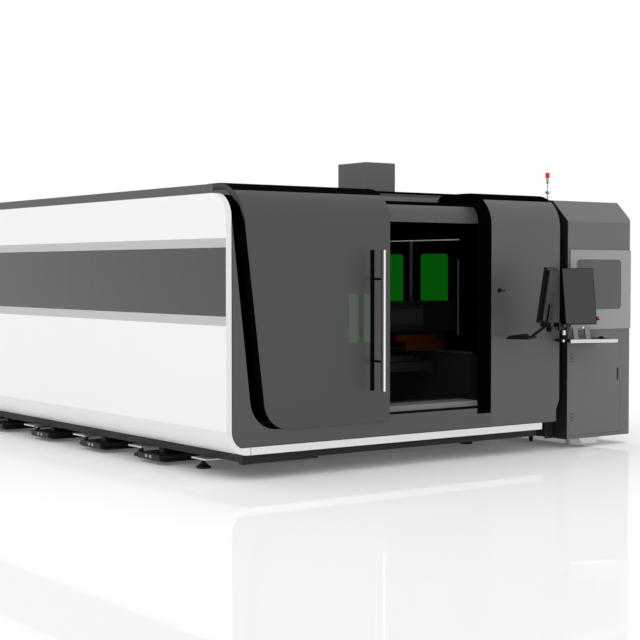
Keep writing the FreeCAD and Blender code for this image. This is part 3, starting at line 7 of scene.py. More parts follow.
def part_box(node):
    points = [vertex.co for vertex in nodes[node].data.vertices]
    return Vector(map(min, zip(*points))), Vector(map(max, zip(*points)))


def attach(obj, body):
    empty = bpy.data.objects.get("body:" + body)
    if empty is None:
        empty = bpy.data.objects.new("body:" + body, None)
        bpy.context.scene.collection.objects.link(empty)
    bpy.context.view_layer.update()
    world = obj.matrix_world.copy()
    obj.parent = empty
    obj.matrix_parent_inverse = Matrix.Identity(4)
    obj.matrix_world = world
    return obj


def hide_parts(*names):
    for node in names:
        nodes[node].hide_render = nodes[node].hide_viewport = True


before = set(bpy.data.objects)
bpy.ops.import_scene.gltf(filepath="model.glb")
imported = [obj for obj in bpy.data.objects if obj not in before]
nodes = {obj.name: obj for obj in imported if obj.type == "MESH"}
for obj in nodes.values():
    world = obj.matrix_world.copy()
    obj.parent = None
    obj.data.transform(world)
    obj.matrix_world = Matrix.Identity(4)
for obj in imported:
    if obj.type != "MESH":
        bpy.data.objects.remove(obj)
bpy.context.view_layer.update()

# ---------------------------------------------------------------- camera
# Someone standing off the left front corner, eyes at 1.65 m, looks along the diagonal of
# the machine with a short telephoto lens. The view is level but for a slight downward tilt.
MM = 0.001
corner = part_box("front_trim")[0]


def at(x, y, z):
    """Point from millimetres right of the left face, behind the front plane and above the floor."""
    return Vector((corner.x + x * MM, corner.y + y * MM, z * MM))


EYE = at(-6105, -9512, 1650)
TILT = 88.062
HEADING = -36.34

camera = bpy.data.cameras.new("camera")
camera.sensor_width = 36.0
camera.lens = 82.46
viewer = bpy.data.objects.new("camera", camera)
viewer.location = EYE
viewer.rotation_euler = (math.radians(TILT), 0.0, math.radians(HEADING))
bpy.context.scene.collection.objects.link(viewer)
bpy.context.scene.camera = viewer
bpy.context.scene.view_settings.view_transform = "Standard"

# ---------------------------------------------------------------- studio
# A white light tent all round, over a white resin floor that is lit a little from below, so
# that it stays white up to the machine and never falls darker than mid grey beneath it.
FLOOR_SIZE = 160.0
TENT = 1.0
FLOOR_POLISH = 0.14        # share of the light that the polish mirrors
FLOOR_GLOW = 0.087         # light that comes up through the resin


def linear(shade, gain=1.0):
    """Linear colour of an sRGB hex value, made lighter or darker by a gain."""
    parts = [int(shade[i:i + 2], 16) / 255 for i in (0, 2, 4)]
    parts = [p / 12.92 if p <= 0.04045 else ((p + 0.055) / 1.055) ** 2.4 for p in parts]
    return (*[p * gain for p in parts], 1.0)


def new_finish(name):
    finish = bpy.data.materials.new(name)
    finish.use_nodes = True
    finish.node_tree.nodes.clear()
    return finish


def add(finish, kind, values=None, links=None, **settings):
    """Adds one node: values fill its sockets, and links join a socket to (node, output)."""
    tree = finish.node_tree
    made = tree.nodes.new(kind)
    for key, value in settings.items():
        setattr(made, key, value)
    for socket, value in (values or {}).items():
        made.inputs[socket].default_value = value
    for socket, (source, output) in (links or {}).items():
        tree.links.new(source.outputs[output], made.inputs[socket])
    return made


def polished_floor():
    """Plain white resin floor with a thin clear polish.

    The same faint glow all over lifts it to the white of a studio floor lit from below; the
    shade under the machine is cast, not painted.
    """
    finish = new_finish("white_resin_floor")
    place = add(finish, "ShaderNodeTexCoord")
    cloud = add(finish, "ShaderNodeTexNoise", {"Scale": 0.3}, {"Vector": (place, "Object")})
    shades = {6: linear("e9e9e9"), 7: linear("ededed")}
    white = add(finish, "ShaderNodeMix", shades, {0: (cloud, 0)}, data_type="RGBA")
    matt = add(finish, "ShaderNodeBsdfDiffuse", {}, {"Color": (white, 2)})
    polish = {"Color": (FLOOR_POLISH, FLOOR_POLISH, FLOOR_POLISH, 1), "Roughness": 0.02}
    mirror = add(finish, "ShaderNodeBsdfGlossy", polish)
    glow = add(finish, "ShaderNodeEmission", {"Strength": FLOOR_GLOW})
    lit = add(finish, "ShaderNodeAddShader", {}, {0: (matt, 0), 1: (glow, 0)})
    both = add(finish, "ShaderNodeAddShader", {}, {0: (lit, 0), 1: (mirror, 0)})
    add(finish, "ShaderNodeOutputMaterial", {}, {"Surface": (both, 0)})
    return finish


floor_mesh = bpy.data.meshes.new("floor")
half = FLOOR_SIZE / 2
square = [(-half, -half, 0), (half, -half, 0), (half, half, 0), (-half, half, 0)]
floor_mesh.from_pydata(square, [], [(0, 1, 2, 3)])
floor_mesh.materials.append(polished_floor())
floor = bpy.data.objects.new("floor", floor_mesh)
bpy.context.scene.collection.objects.link(floor)

tent = bpy.data.worlds.new("light_tent")
tent.use_nodes = True
tent.node_tree.nodes["Background"].inputs["Color"].default_value = (1, 1, 1, 1)
tent.node_tree.nodes["Background"].inputs["Strength"].default_value = TENT
bpy.context.scene.world = tent

# ---------------------------------------------------------------- base frame, feet and ducts
# Welded square tube on screwed levelling feet, with flat duct covers that run in under the
# machine between the feet. All of it is mill-scale black paint on steel; the plates over
# the feet are bare rolled steel.
def size_from_left(name):
    """Lowest and highest corner of a CAD node, in the millimetres that at() takes."""
    low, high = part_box(name)
    origin = Vector((corner.x, corner.y, 0))
    return (low - origin) / MM, (high - origin) / MM


def powder_coat(name, shade, roughness, cloud=0.03, grain=7.0, relief=0.08, shine=0.5):
    """Baked powder coat on folded sheet: an even colour with a faint cloud and fine orange peel.

    The peel of real powder coat is about 1 mm across, too fine to show, so grain is coarser.
    Shine is the strength of its clear top layer: 0.5 for a full gloss binder, 0.1 for matt.
    """
    finish = new_finish(name)
    place = add(finish, "ShaderNodeTexCoord")
    spot = {"Vector": (place, "Object")}
    large = add(finish, "ShaderNodeTexNoise", {"Scale": 1000 / 900, "Detail": 3.0}, spot)
    fine = add(finish, "ShaderNodeTexNoise", {"Scale": 1000 / grain, "Detail": 2.0}, spot)
    shades = {6: linear(shade, 1 - cloud), 7: linear(shade, 1 + cloud)}
    colour = add(finish, "ShaderNodeMix", shades, {0: (large, 0)}, data_type="RGBA")
    rough = {"To Min": roughness - 0.05, "To Max": roughness + 0.05}
    gloss = add(finish, "ShaderNodeMapRange", rough, {"Value": (fine, 0)})
    peel = add(finish, "ShaderNodeBump", {"Strength": relief, "Distance": 0.0004}, {"Height": (fine, 0)})
    links = {"Base Color": (colour, 2), "Roughness": (gloss, 0), "Normal": (peel, 0)}
    coat = add(finish, "ShaderNodeBsdfPrincipled", {"IOR": 1.5, "Specular IOR Level": shine}, links)
    add(finish, "ShaderNodeOutputMaterial", {}, {"Surface": (coat, 0)})
    return finish


def worked_metal(name, shade, roughness, stretch=(1, 1, 1), mark=4.0, relief=0.1):
    """Bare or plated metal whose tool marks are mark millimetres apart and run where stretch is small."""
    finish = new_finish(name)
    place = add(finish, "ShaderNodeTexCoord")
    lie = add(finish, "ShaderNodeMapping", {"Scale": stretch}, {"Vector": (place, "Object")})
    marks = add(finish, "ShaderNodeTexNoise", {"Scale": 1000 / mark, "Detail": 4.0}, {"Vector": (lie, 0)})
    shades = {6: linear(shade, 0.9), 7: linear(shade, 1.08)}
    colour = add(finish, "ShaderNodeMix", shades, {0: (marks, 0)}, data_type="RGBA")
    rough = {"To Min": roughness * 0.7, "To Max": roughness * 1.3}
    gloss = add(finish, "ShaderNodeMapRange", rough, {"Value": (marks, 0)})
    score = add(finish, "ShaderNodeBump", {"Strength": relief, "Distance": 0.0002}, {"Height": (marks, 0)})
    links = {"Base Color": (colour, 2), "Roughness": (gloss, 0), "Normal": (score, 0)}
    metal = add(finish, "ShaderNodeBsdfPrincipled", {"Metallic": 1.0}, links)
    add(finish, "ShaderNodeOutputMaterial", {}, {"Surface": (metal, 0)})
    return finish


def coat_nodes(finish, slot, *names):
    """Gives CAD nodes their finish."""
    for name in names:
        mesh = nodes[name].data
        mesh.materials.clear()
        mesh.materials.append(finish)


def turn(shape, profile, foot, axis=(0, 0, 1), steps=24):
    """Adds a turned solid: profile is (radius, height) in millimetres, up its axis from the foot."""
    upright = Vector(axis).to_track_quat("Z", "Y").to_matrix()
    rings = []
    for radius, height in profile:
        ring = []
        for i in range(steps):
            angle = 2 * math.pi * i / steps
            spot = upright @ Vector((radius * math.cos(angle), radius * math.sin(angle), height))
            ring.append(shape.verts.new(Vector(foot) + spot * MM))
        rings.append(ring)
    for low, high in zip(rings, rings[1:]):
        for i in range(steps):
            j = (i + 1) % steps
            shape.faces.new((low[i], low[j], high[j], high[i]))
    shape.faces.new(rings[0][::-1])
    shape.faces.new(rings[-1])


def open_ends(shape):
    """Takes the flat ends off turned solids, which leaves them as rings."""
    bmesh.ops.delete(shape, geom=[f for f in shape.faces if len(f.verts) > 4], context="FACES_ONLY")


def prism(shape, near, far):
    """Adds the faces between two like outlines of vertices, with both ends closed."""
    shape.faces.new(near)
    shape.faces.new(far[::-1])
    for k in range(len(near)):
        n = (k + 1) % len(near)
        shape.faces.new((near[k], far[k], far[n], near[n]))


def block(shape, low, high, edge=1.0):
    """Adds a box with softened edges between two corners; edge is their width in millimetres."""
    low, high = Vector(low), Vector(high)
    fit = Matrix.Translation((low + high) / 2) @ Matrix.Diagonal((*(high - low), 1.0))
    made = bmesh.ops.create_cube(shape, size=1.0, matrix=fit)
    edges = list({e for v in made["verts"] for e in v.link_edges})
    bmesh.ops.bevel(shape, geom=edges, offset=edge * MM, segments=2, affect="EDGES", profile=0.5)


def make_piece(name, shape, finish, body, lie=None):
    """Turns a mesh into a piece in its finish, riding on a body; lie puts it in place."""
    mesh = bpy.data.meshes.new(name)
    if lie is not None:
        bmesh.ops.transform(shape, matrix=lie, verts=shape.verts)
    shape.to_mesh(mesh)
    shape.free()
    mesh.materials.append(finish)
    made = bpy.data.objects.new(name, mesh)
    bpy.context.scene.collection.objects.link(made)
    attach(made, body)
    return made


FOOT_FIRST = 891.0
FOOT_PITCH = 1055.0
FOOT_COUNT = 8
FOOT_COLUMNS = (340.0, 3276.0)
NUT = [(27, 0), (31, 3), (31, 17), (27, 20)]

black_paint = powder_coat("black_frame_paint", "1c1c1c", 0.5, shine=0.25)
rolled_steel = worked_metal("rolled_steel_plate", "c8c8c6", 0.35, (1, 1, 1), 12)
zinc_plate = worked_metal("zinc_plated_fastener", "a8aaac", 0.3, (1, 1, 1), 3)
coat_nodes(black_paint, "frame_black", "base_frame", "levelling_feet", "cross_channels")
coat_nodes(rolled_steel, "plate_steel", "foot_plates")

shape = bmesh.new()
for i in range(FOOT_COUNT):
    for x in FOOT_COLUMNS:
        turn(shape, NUT, at(x, FOOT_FIRST + FOOT_PITCH * i, 64), steps=6)
make_piece("foot_nuts", shape, zinc_plate, "machine")

shape = bmesh.new()
for i in range(FOOT_COUNT - 1):
    middle = FOOT_FIRST + FOOT_PITCH * (i + 0.5)
    for x, out in ((110.0, -1), (3506.0, 1)):
        for y in (middle - 60, middle + 10):
            block(shape, at(min(x, x + out * 4), y, 52), at(max(x, x + out * 4), y + 34, 76))
make_piece("duct_catches", shape, zinc_plate, "machine")

# ---------------------------------------------------------------- bed, rails and pallet
# The bed is a stress-relieved weldment of plate in grey primer. Ground steel rails and a
# hobbed rack lie along its girders, and a drawer-like pallet of laser-cut slats rests in it.
SLAT_PITCH = 160.0
SLAT_T = 4.0
TOOTH = 60.0               # pitch of the points that carry the sheet
TOOTH_DEPTH = 26.0
RACK_TOOTH = 20.0          # real teeth are 6 mm apart, too fine to show
RACK_WIDE = 18.0
RACK_HIGH = 22.0

bed_primer = powder_coat("dark_bed_primer", "232527", 0.6, 0.08, 14.0, 0.2, 0.2)
ground_steel = worked_metal("ground_rail_steel", "c4c6c8", 0.18, (1, 0.05, 1), 3)
scorched_steel = worked_metal("scorched_slat_steel", "6b625a", 0.5, (1, 1, 1), 40, 0.3)
coat_nodes(bed_primer, "bed_grey", "machine_bed")
coat_nodes(ground_steel, "rail_steel", "guide_rails")
coat_nodes(bed_primer, "bed_grey", "pallet_frame")

low, high = size_from_left("pallet_slats")
slat_count = round((high.y - low.y) / SLAT_PITCH) + 1
shape = bmesh.new()
for i in range(slat_count):
    y = low.y + SLAT_PITCH * i
    outline = [(low.x, low.z), (high.x, low.z), (high.x, high.z - TOOTH_DEPTH)]
    teeth = int((high.x - low.x) / TOOTH)
    step = (high.x - low.x) / teeth
    for k in range(teeth):
        right = high.x - step * k
        outline.append((right - step / 2, high.z))
        outline.append((right - step, high.z - TOOTH_DEPTH))
    near = [shape.verts.new(at(x, y, z)) for x, z in outline]
    far = [shape.verts.new(at(x, y + SLAT_T, z)) for x, z in outline]
    prism(shape, near, far)
slats = make_piece("toothed_slats", shape, scorched_steel, "machine")
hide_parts("pallet_slats")

bed_low, bed_high = size_from_left("machine_bed")
rail_left = size_from_left("guide_rails")[0].x
shape = bmesh.new()
for x in (rail_left + 42, 3183.0):
    y = bed_low.y + 50
    block(shape, at(x, y, bed_high.z), at(x + RACK_WIDE, bed_high.y - 50, bed_high.z + RACK_HIGH - 8))
    while y < bed_high.y - 70:
        tooth_end = at(x + RACK_WIDE, y + RACK_TOOTH / 2, bed_high.z + RACK_HIGH)
        block(shape, at(x, y, bed_high.z + RACK_HIGH - 9), tooth_end, 2)
        y += RACK_TOOTH
make_piece("bed_racks", shape, ground_steel, "machine")

# ---------------------------------------------------------------- white cladding
# Folded steel sheet in gloss white powder coat: a shade darker on the rim, the bottom strip
# and the rounded lower edges, and pale grey on the two chamfers that lead into the long
# window band. The band is dark smoked acrylic, glossy and wavy. Thin rubber seals the joints.
white_coat = powder_coat("white_powder_coat", "f3f3f3", 0.35, 0.01)
trim_coat = powder_coat("off_white_trim_coat", "e6e6e6", 0.35, 0.01)
pale_grey_coat = powder_coat("pale_grey_powder_coat", "c1c1c1", 0.4, 0.02)


def smoked_acrylic(name, shade, roughness):
    """Smoked sheet with faint upright streaks from casting, 120 mm apart."""
    finish = new_finish(name)
    place = add(finish, "ShaderNodeTexCoord")
    lie = add(finish, "ShaderNodeMapping", {"Scale": (1, 1, 0.02)}, {"Vector": (place, "Object")})
    streak = add(finish, "ShaderNodeTexNoise", {"Scale": 1000 / 120, "Detail": 3.0}, {"Vector": (lie, 0)})
    shades = {6: linear(shade, 0.9), 7: linear(shade, 1.1)}
    colour = add(finish, "ShaderNodeMix", shades, {0: (streak, 0)}, data_type="RGBA")
    wave = add(finish, "ShaderNodeBump", {"Strength": 0.1, "Distance": 0.001}, {"Height": (streak, 0)})
    links = {"Base Color": (colour, 2), "Normal": (wave, 0)}
    sheet = add(finish, "ShaderNodeBsdfPrincipled", {"IOR": 1.49, "Roughness": roughness}, links)
    add(finish, "ShaderNodeOutputMaterial", {}, {"Surface": (sheet, 0)})
    return finish


smoked_band = smoked_acrylic("smoked_acrylic_band", "3a3a3a", 0.12)
coat_nodes(white_coat, "white_enamel", "lower_side_panels", "upper_side_panels")
coat_nodes(trim_coat, "white_enamel", "front_trim")
coat_nodes(pale_grey_coat, "pale_grey_enamel", "side_chamfers")
coat_nodes(smoked_band, "band_grey", "side_window_bands")

seal_rubber = powder_coat("extruded_seal_rubber", "0a0a0a", 0.6, 0.05, 5.0, 0.1, 0.1)
RIM_INNER = 46.0
CORNER_CENTRE = (194.0, 400.0)
CORNER_INNER = 148.0
STRIP_TOP = 267.0
SEAL_WIDE = 4.0
kink = math.asin((CORNER_CENTRE[1] - STRIP_TOP) / CORNER_INNER)
lines = [((RIM_INNER, 2053.0), (1, 0)), ((RIM_INNER, CORNER_CENTRE[1]), (1, 0))]
for i in range(1, 9):
    angle = kink * i / 8
    out = (-math.cos(angle), -math.sin(angle))
    bend = [centre + CORNER_INNER * way for centre, way in zip(CORNER_CENTRE, out)]
    lines.append((bend, (-out[0], -out[1])))
lines.append(((lines[-1][0][0] + 1, STRIP_TOP), (0, 1)))
lines.append(((3398.0, STRIP_TOP), (0, 1)))
shape = bmesh.new()
rows = []
for (x, z), (dx, dz) in lines:
    far_x, far_z = x + dx * SEAL_WIDE, z + dz * SEAL_WIDE
    section = ((x, -0.1, z), (x, -1.6, z), (far_x, -1.6, far_z), (far_x, -0.1, far_z))
    rows.append([shape.verts.new(at(*spot)) for spot in section])
for here, there in zip(rows, rows[1:]):
    for k in range(4):
        n = (k + 1) % 4
        shape.faces.new((here[k], there[k], there[n], here[n]))
block(shape, at(218.5, -1.2, 207), at(221.5, 0, 266), 0.3)
make_piece("rim_seals", shape, seal_rubber, "machine")

# ---------------------------------------------------------------- roof and extraction
# Grey sheet roof with a shallow deck whose rim is folded down and black, stiffened
# by low seams. The extraction box is riveted sheet with a wire guard in its round port.
LIP_HIGH = 20.0
SEAM_PITCH = 1190.0
SEAM_IN = 360.0
SEAM_HIGH = 9.0

roof_coat = powder_coat("grey_roof_coat", "4a4a4a", 0.45)
black_coat = powder_coat("black_powder_coat", "060606", 0.5, shine=0.0)
box_coat = powder_coat("extraction_box_coat", "5a5a5a", 0.45)
step_light_coat = powder_coat("roof_step_painted_light", "767676", 0.45)
coat_nodes(roof_coat, "roof_grey", "main_roof")
coat_nodes(box_coat, "roof_grey", "extraction_box")
coat_nodes(black_coat, "black_enamel", "front_roof")

roof_top = size_from_left("main_roof")[1].z
DECK = (380.0, 3236.0, 850.0, 8020.0)
shape = bmesh.new()
x0, x1, y0, y1 = DECK
for near, far in (((x0 - 1, y0 - 1), (x0 + 3, y1 + 1)), ((x1 - 3, y0 - 1), (x1 + 1, y1 + 1)),
                  ((x0, y0 - 1), (x1, y0 + 3)), ((x0, y1 - 3), (x1, y1 + 1))):
    block(shape, at(*near, roof_top - LIP_HIGH), at(*far, roof_top + 0.4), 0.3)
make_piece("deck_lip", shape, black_coat, "machine")

# Painted light: a thin plate in a lighter grey than the roof, on the deck's front step, which lies in the
# canopy's shade, so that face looks lit.
shape = bmesh.new()
block(shape, at(60, 848.4, 2252), at(3600, 850, 2320), 0.4)
make_piece("roof_step_light_plate", shape, step_light_coat, "machine")

box_low, box_high = size_from_left("extraction_box")
shape = bmesh.new()
y = y0 + SEAM_IN
while y < y1 - SEAM_IN:
    right = box_low.x - 60 if box_low.y - 60 < y < box_high.y + 60 else x1 - SEAM_IN
    block(shape, at(x0 + SEAM_IN, y, roof_top), at(right, y + 26, roof_top + SEAM_HIGH), 3)
    y += SEAM_PITCH
make_piece("deck_seams", shape, roof_coat, "machine")

RIVET = [(7, 0), (7, 1.0), (5, 2.4), (2, 3.0)]
shape = bmesh.new()
for side_x, out in ((box_low.x, -1), (box_high.x, 1)):
    for z in (roof_top + 40, box_high.z - 30):
        for k in range(4):
            y = box_low.y + 40 + k * (box_high.y - box_low.y - 80) / 3
            turn(shape, RIVET, at(side_x, y, z), (out, 0, 0), 10)
make_piece("box_rivets", shape, box_coat, "machine")

GUARD_RINGS = (35.0, 65.0, 95.0, 121.0)
GUARD_WIRE = 2.5
guard_z = box_high.z - 12
middle = ((box_low.x + box_high.x) / 2, (box_low.y + box_high.y) / 2)
shape = bmesh.new()
for ring in GUARD_RINGS:
    thin, wide = ring - GUARD_WIRE, ring + GUARD_WIRE
    wire = [(thin, -2), (wide, -2), (wide, 2), (thin, 2), (thin, -2)]
    turn(shape, wire, at(*middle, guard_z), steps=40)
open_ends(shape)
for x, y in ((123, 2.5), (2.5, 123)):
    low_end = at(middle[0] - x, middle[1] - y, guard_z - 6)
    block(shape, low_end, at(middle[0] + x, middle[1] + y, guard_z - 2))
make_piece("port_guard", shape, zinc_plate, "machine")

# ---------------------------------------------------------------- rear wall and pallet door
# Painted steel wall with a counterweighted lifting door for the pallet. Louvred covers of
# pressed sheet are screwed over the fan openings, and the bores have nickel-plated rings.
SCREW = [(6.5, 0), (6.5, 1.2), (5.6, 2.0), (2.6, 2.0), (2.6, 1.0)]
LOUVRE_PITCH = 34.0

service_grey = powder_coat("service_grey_coat", "8a8c8e", 0.45)
dark_service = powder_coat("dark_grey_coat", "3c3e40", 0.45)
coat_nodes(service_grey, "housing_grey", "rear_wall")
coat_nodes(dark_service, "hatch_grey", "pallet_door")


def louvre(shape, spots):
    """Adds one pressed louvre: two long edges on the sheet and a lip that stands proud."""
    points = [shape.verts.new(spot) for spot in spots]
    for face in ((0, 1, 2, 3), (3, 2, 5, 4), (0, 3, 4), (1, 5, 2), (0, 4, 5, 1)):
        shape.faces.new([points[i] for i in face])


REAR_PANELS = ((3260.0, 3540.0), (90.0, 340.0))
wall_back = size_from_left("rear_wall")[1].y
shape = bmesh.new()
for x0, x1 in REAR_PANELS:
    block(shape, at(x0, wall_back, 1250), at(x1, wall_back + 1.6, 2050), 0.6)
    z = 1290.0
    while z < 2010:
        rise = [at(x0 + 24, wall_back + 1.5, z), at(x1 - 24, wall_back + 1.5, z),
                at(x1 - 24, wall_back + 3.8, z + 4), at(x0 + 24, wall_back + 3.8, z + 4),
                at(x0 + 24, wall_back + 1.5, z + 22), at(x1 - 24, wall_back + 1.5, z + 22)]
        louvre(shape, rise)
        z += LOUVRE_PITCH
make_piece("rear_louvres", shape, dark_service, "machine")

shape = bmesh.new()
for x0, x1 in REAR_PANELS:
    for x in (x0 + 11, x1 - 11):
        for k in range(5):
            turn(shape, SCREW, at(x, wall_back + 1.6, 1262 + k * 194), (0, 1, 0), 12)
make_piece("louvre_screws", shape, zinc_plate, "machine")

GLANDS = ((3300.0, 420.0, 25.0), (3300.0, 560.0, 12.0))
shape = bmesh.new()
for x, z, radius in GLANDS:
    ring = [(0, 0), (12, 0), (12, 2), (9, 3.6), (0, 3.6), (0, 0)]
    turn(shape, [(radius + wide, out) for wide, out in ring], at(x, wall_back, z), (0, 1, 0), 32)
open_ends(shape)
make_piece("bore_rings", shape, zinc_plate, "machine")

# ---------------------------------------------------------------- fixed front
# Dark grey powder-coated sheet: the surround with its skirt, the fascia over the doorway
# and the right shell, whose black cap rolls over to the roof. Two pilot lamps and a push
# button sit in turned black rings on the shell.
PILOT_Z = 1472.0
PILOTS = (2901.0, 2926.0)

front_coat = powder_coat("dark_grey_powder_coat", "474747", 0.42)
shell_coat = powder_coat("shell_grey_powder_coat", "505050", 0.42)
moulded_black = powder_coat("moulded_black_plastic", "070707", 0.4, 0.05, 4.0, 0.1, 0.12)
interior_black = powder_coat("matt_black_interior", "040404", 0.7, 0.05, shine=0.0)
coat_nodes(front_coat, "shell_grey", "front_surround", "front_fascia")
coat_nodes(shell_coat, "shell_grey", "right_shell")
recess_coat = powder_coat("recess_black_coat", "1e1e1e", 0.5, shine=0.4)
coat_nodes(black_coat, "black_enamel", "shell_liner", "door_track")
coat_nodes(recess_coat, "black_enamel", "recess_panels")
coat_nodes(interior_black, "black_enamel", "inner_front_wall")
coat_nodes(moulded_black, "button_black", "door_button")

sill_steel = powder_coat("grey_sill_plate", "8e8e8e", 0.4)
track_high = size_from_left("door_track")[1]
shape = bmesh.new()
block(shape, at(1500, 178.6, 443), at(track_high.x, 180, track_high.z + 1.4), 0.4)
block(shape, at(1500, 180, track_high.z), at(track_high.x, track_high.y, track_high.z + 1.4), 0.4)
make_piece("sill_cover", shape, sill_steel, "machine")

button_low, button_high = size_from_left("door_button")
button_x = (button_low.x + button_high.x) / 2
shape = bmesh.new()
ring = [(15.6, 0), (20, 0), (20, 2), (18, 4.5), (15.6, 4.5), (15.6, 0)]
turn(shape, ring, at(button_x, 0, (button_low.z + button_high.z) / 2), (0, -1, 0), 32)
open_ends(shape)
for x in PILOTS:
    turn(shape, [(8, 0), (8, 3), (6.5, 5), (5, 7), (2.5, 8.5)], at(x, 0, PILOT_Z), (0, -1, 0), 20)
make_piece("button_rings", shape, moulded_black, "machine")

# ---------------------------------------------------------------- sliding door
# One large sheet with a rolled canopy, hung on a welded black frame. It has a small green
# laser-safe window, whose faint green glow is painted light. Its chrome handle is drawn as a
# grey tube whose grey is a painted reflection, with a strip of bright metal towards the camera
# as a painted highlight, on a black backplate. A lighter grey skin on the canopy's left end is
# painted light.
door_coat = powder_coat("door_grey_powder_coat", "3d3d3d", 0.42)
cheek_light_coat = powder_coat("cheek_painted_light_grey", "5c5c5c", 0.42)
chrome = worked_metal("bright_chrome_plate", "d8d8da", 0.08, (1, 1, 0.02), 5, 0.02)
satin_black = powder_coat("satin_black_enamel", "0a0a0a", 0.4, shine=0.0)
# Painted reflection: the handle tube's grey stands in for what a chrome tube reflects.
handle_reflection_grey = powder_coat("handle_painted_reflection_grey", "464646", 0.3, 0.03, 4.0)
handle_highlight_metal = worked_metal("handle_painted_highlight_metal", "f0f0f0", 0.15, (1, 1, 0.02), 5, 0.02)


def laser_acrylic(name, shade, glow, strength, roughness=0.12):
    """Green laser-safe acrylic: it stops most light, and the soft green it would let through is painted on
    as a faint glow.
    """
    finish = new_finish(name)
    place = add(finish, "ShaderNodeTexCoord")
    haze_size = {"Scale": 1000 / 500, "Detail": 2.0}
    haze = add(finish, "ShaderNodeTexNoise", haze_size, {"Vector": (place, "Object")})
    shades = {6: linear(glow, 0.85), 7: linear(glow, 1.15)}
    painted_glow = add(finish, "ShaderNodeMix", shades, {0: (haze, 0)}, data_type="RGBA")
    values = {"Base Color": linear(shade), "IOR": 1.49, "Roughness": roughness}
    values["Emission Strength"] = strength
    pane = add(finish, "ShaderNodeBsdfPrincipled", values, {"Emission Color": (painted_glow, 2)})
    add(finish, "ShaderNodeOutputMaterial", {}, {"Surface": (pane, 0)})
    return finish


# Painted light: the door pane glows faintly green where light would come through it.
door_pane = laser_acrylic("laser_safe_acrylic_door", "3c423c", "283828", 0.5)
coat_nodes(door_coat, "door_grey", "sliding_door")
coat_nodes(satin_black, "black_enamel", "door_frame")
coat_nodes(door_pane, "laser_glass", "door_window")
coat_nodes(handle_reflection_grey, "handle_chrome", "handle_front_bar")
coat_nodes(satin_black, "black_enamel", "handle_back_bar")

handle_low, handle_high = size_from_left("handle_front_bar")
handle_x = (handle_low.x + handle_high.x) / 2
handle_y = (handle_low.y + handle_high.y) / 2
shape = bmesh.new()
END_CAP = [(23.4, -0.5), (23.4, 0), (21, 1.2), (12, 1.6)]
for z, out in ((handle_high.z, 1), (handle_low.z, -1)):
    turn(shape, END_CAP, at(handle_x, handle_y, z - out * 1.6), (0, 0, out), 32)
for z in (902.0, 1579.0):
    turn(shape, [(15, 0), (15, 6), (11, 10), (9.4, 10)], at(handle_x, handle_y + 146, z), (0, -1, 0), 24)
make_piece("handle_collars", shape, satin_black, "door")

HIGHLIGHT_ARC = (232.0, 270.0)     # directions that the painted highlight covers, from +X towards +Y
HIGHLIGHT_STEPS = 10
# Painted highlight: a strip of bright metal on the side of the tube that faces the camera stands in for
# the chrome's glint.
shape = bmesh.new()
columns = []
for i in range(HIGHLIGHT_STEPS + 1):
    angle = math.radians(HIGHLIGHT_ARC[0] + (HIGHLIGHT_ARC[1] - HIGHLIGHT_ARC[0]) * i / HIGHLIGHT_STEPS)
    for radius in (23.9, 24.5):
        x, y = handle_x + radius * math.cos(angle), handle_y + radius * math.sin(angle)
        columns.append([shape.verts.new(at(x, y, z)) for z in (handle_low.z + 4, handle_high.z - 4)])
for i in range(0, 2 * HIGHLIGHT_STEPS, 2):
    near, far = columns[i + 1], columns[i + 3]
    shape.faces.new((near[0], far[0], far[1], near[1]))
for inner, outer in ((0, 1), (2 * HIGHLIGHT_STEPS, 2 * HIGHLIGHT_STEPS + 1)):
    shape.faces.new((columns[inner][0], columns[outer][0], columns[outer][1], columns[inner][1]))
make_piece("handle_painted_highlight", shape, handle_highlight_metal, "door")

CHEEK_X = 161.0            # lighter skin on the canopy's left end, on the door's slanted edge
CHEEK_SLOPE = 0.125
# Painted light: this skin, a shade lighter than the door, lies over the door's own end face so that the
# face looks lit.
cheek = []
for i in range(11):
    angle = math.radians(180 - 9 * i)
    cheek.append((280 + 294 * math.cos(angle), 2040 + 294 * math.sin(angle)))
cheek += [(456, 2334), (456, 2290), (222, 2295), (34, 2162)]
shape = bmesh.new()
near = [shape.verts.new(at(CHEEK_X + CHEEK_SLOPE * (2000 - z) - 1.2, y, z)) for y, z in cheek]
far = [shape.verts.new(at(CHEEK_X + CHEEK_SLOPE * (2000 - z) - 0.1, y, z)) for y, z in cheek]
prism(shape, near, far)
make_piece("canopy_cheek_light_skin", shape, cheek_light_coat, "door")

window_low, window_high = size_from_left("door_window")
shape = bmesh.new()
seal = 14.0
y0, y1 = window_high.y, window_high.y + 6
x0, x1, z0, z1 = window_low.x, window_high.x, window_low.z, window_high.z
block(shape, at(x0 - seal, y0, z0 - seal), at(x1 + seal, y1, z0 + seal), 2)
block(shape, at(x0 - seal, y0, z1 - seal), at(x1 + seal, y1, z1 + seal), 2)
block(shape, at(x0 - seal, y0, z0 + seal), at(x0 + seal, y1, z1 - seal), 2)
block(shape, at(x1 - seal, y0, z0 + seal), at(x1 + seal, y1, z1 - seal), 2)
make_piece("window_seal", shape, moulded_black, "door")

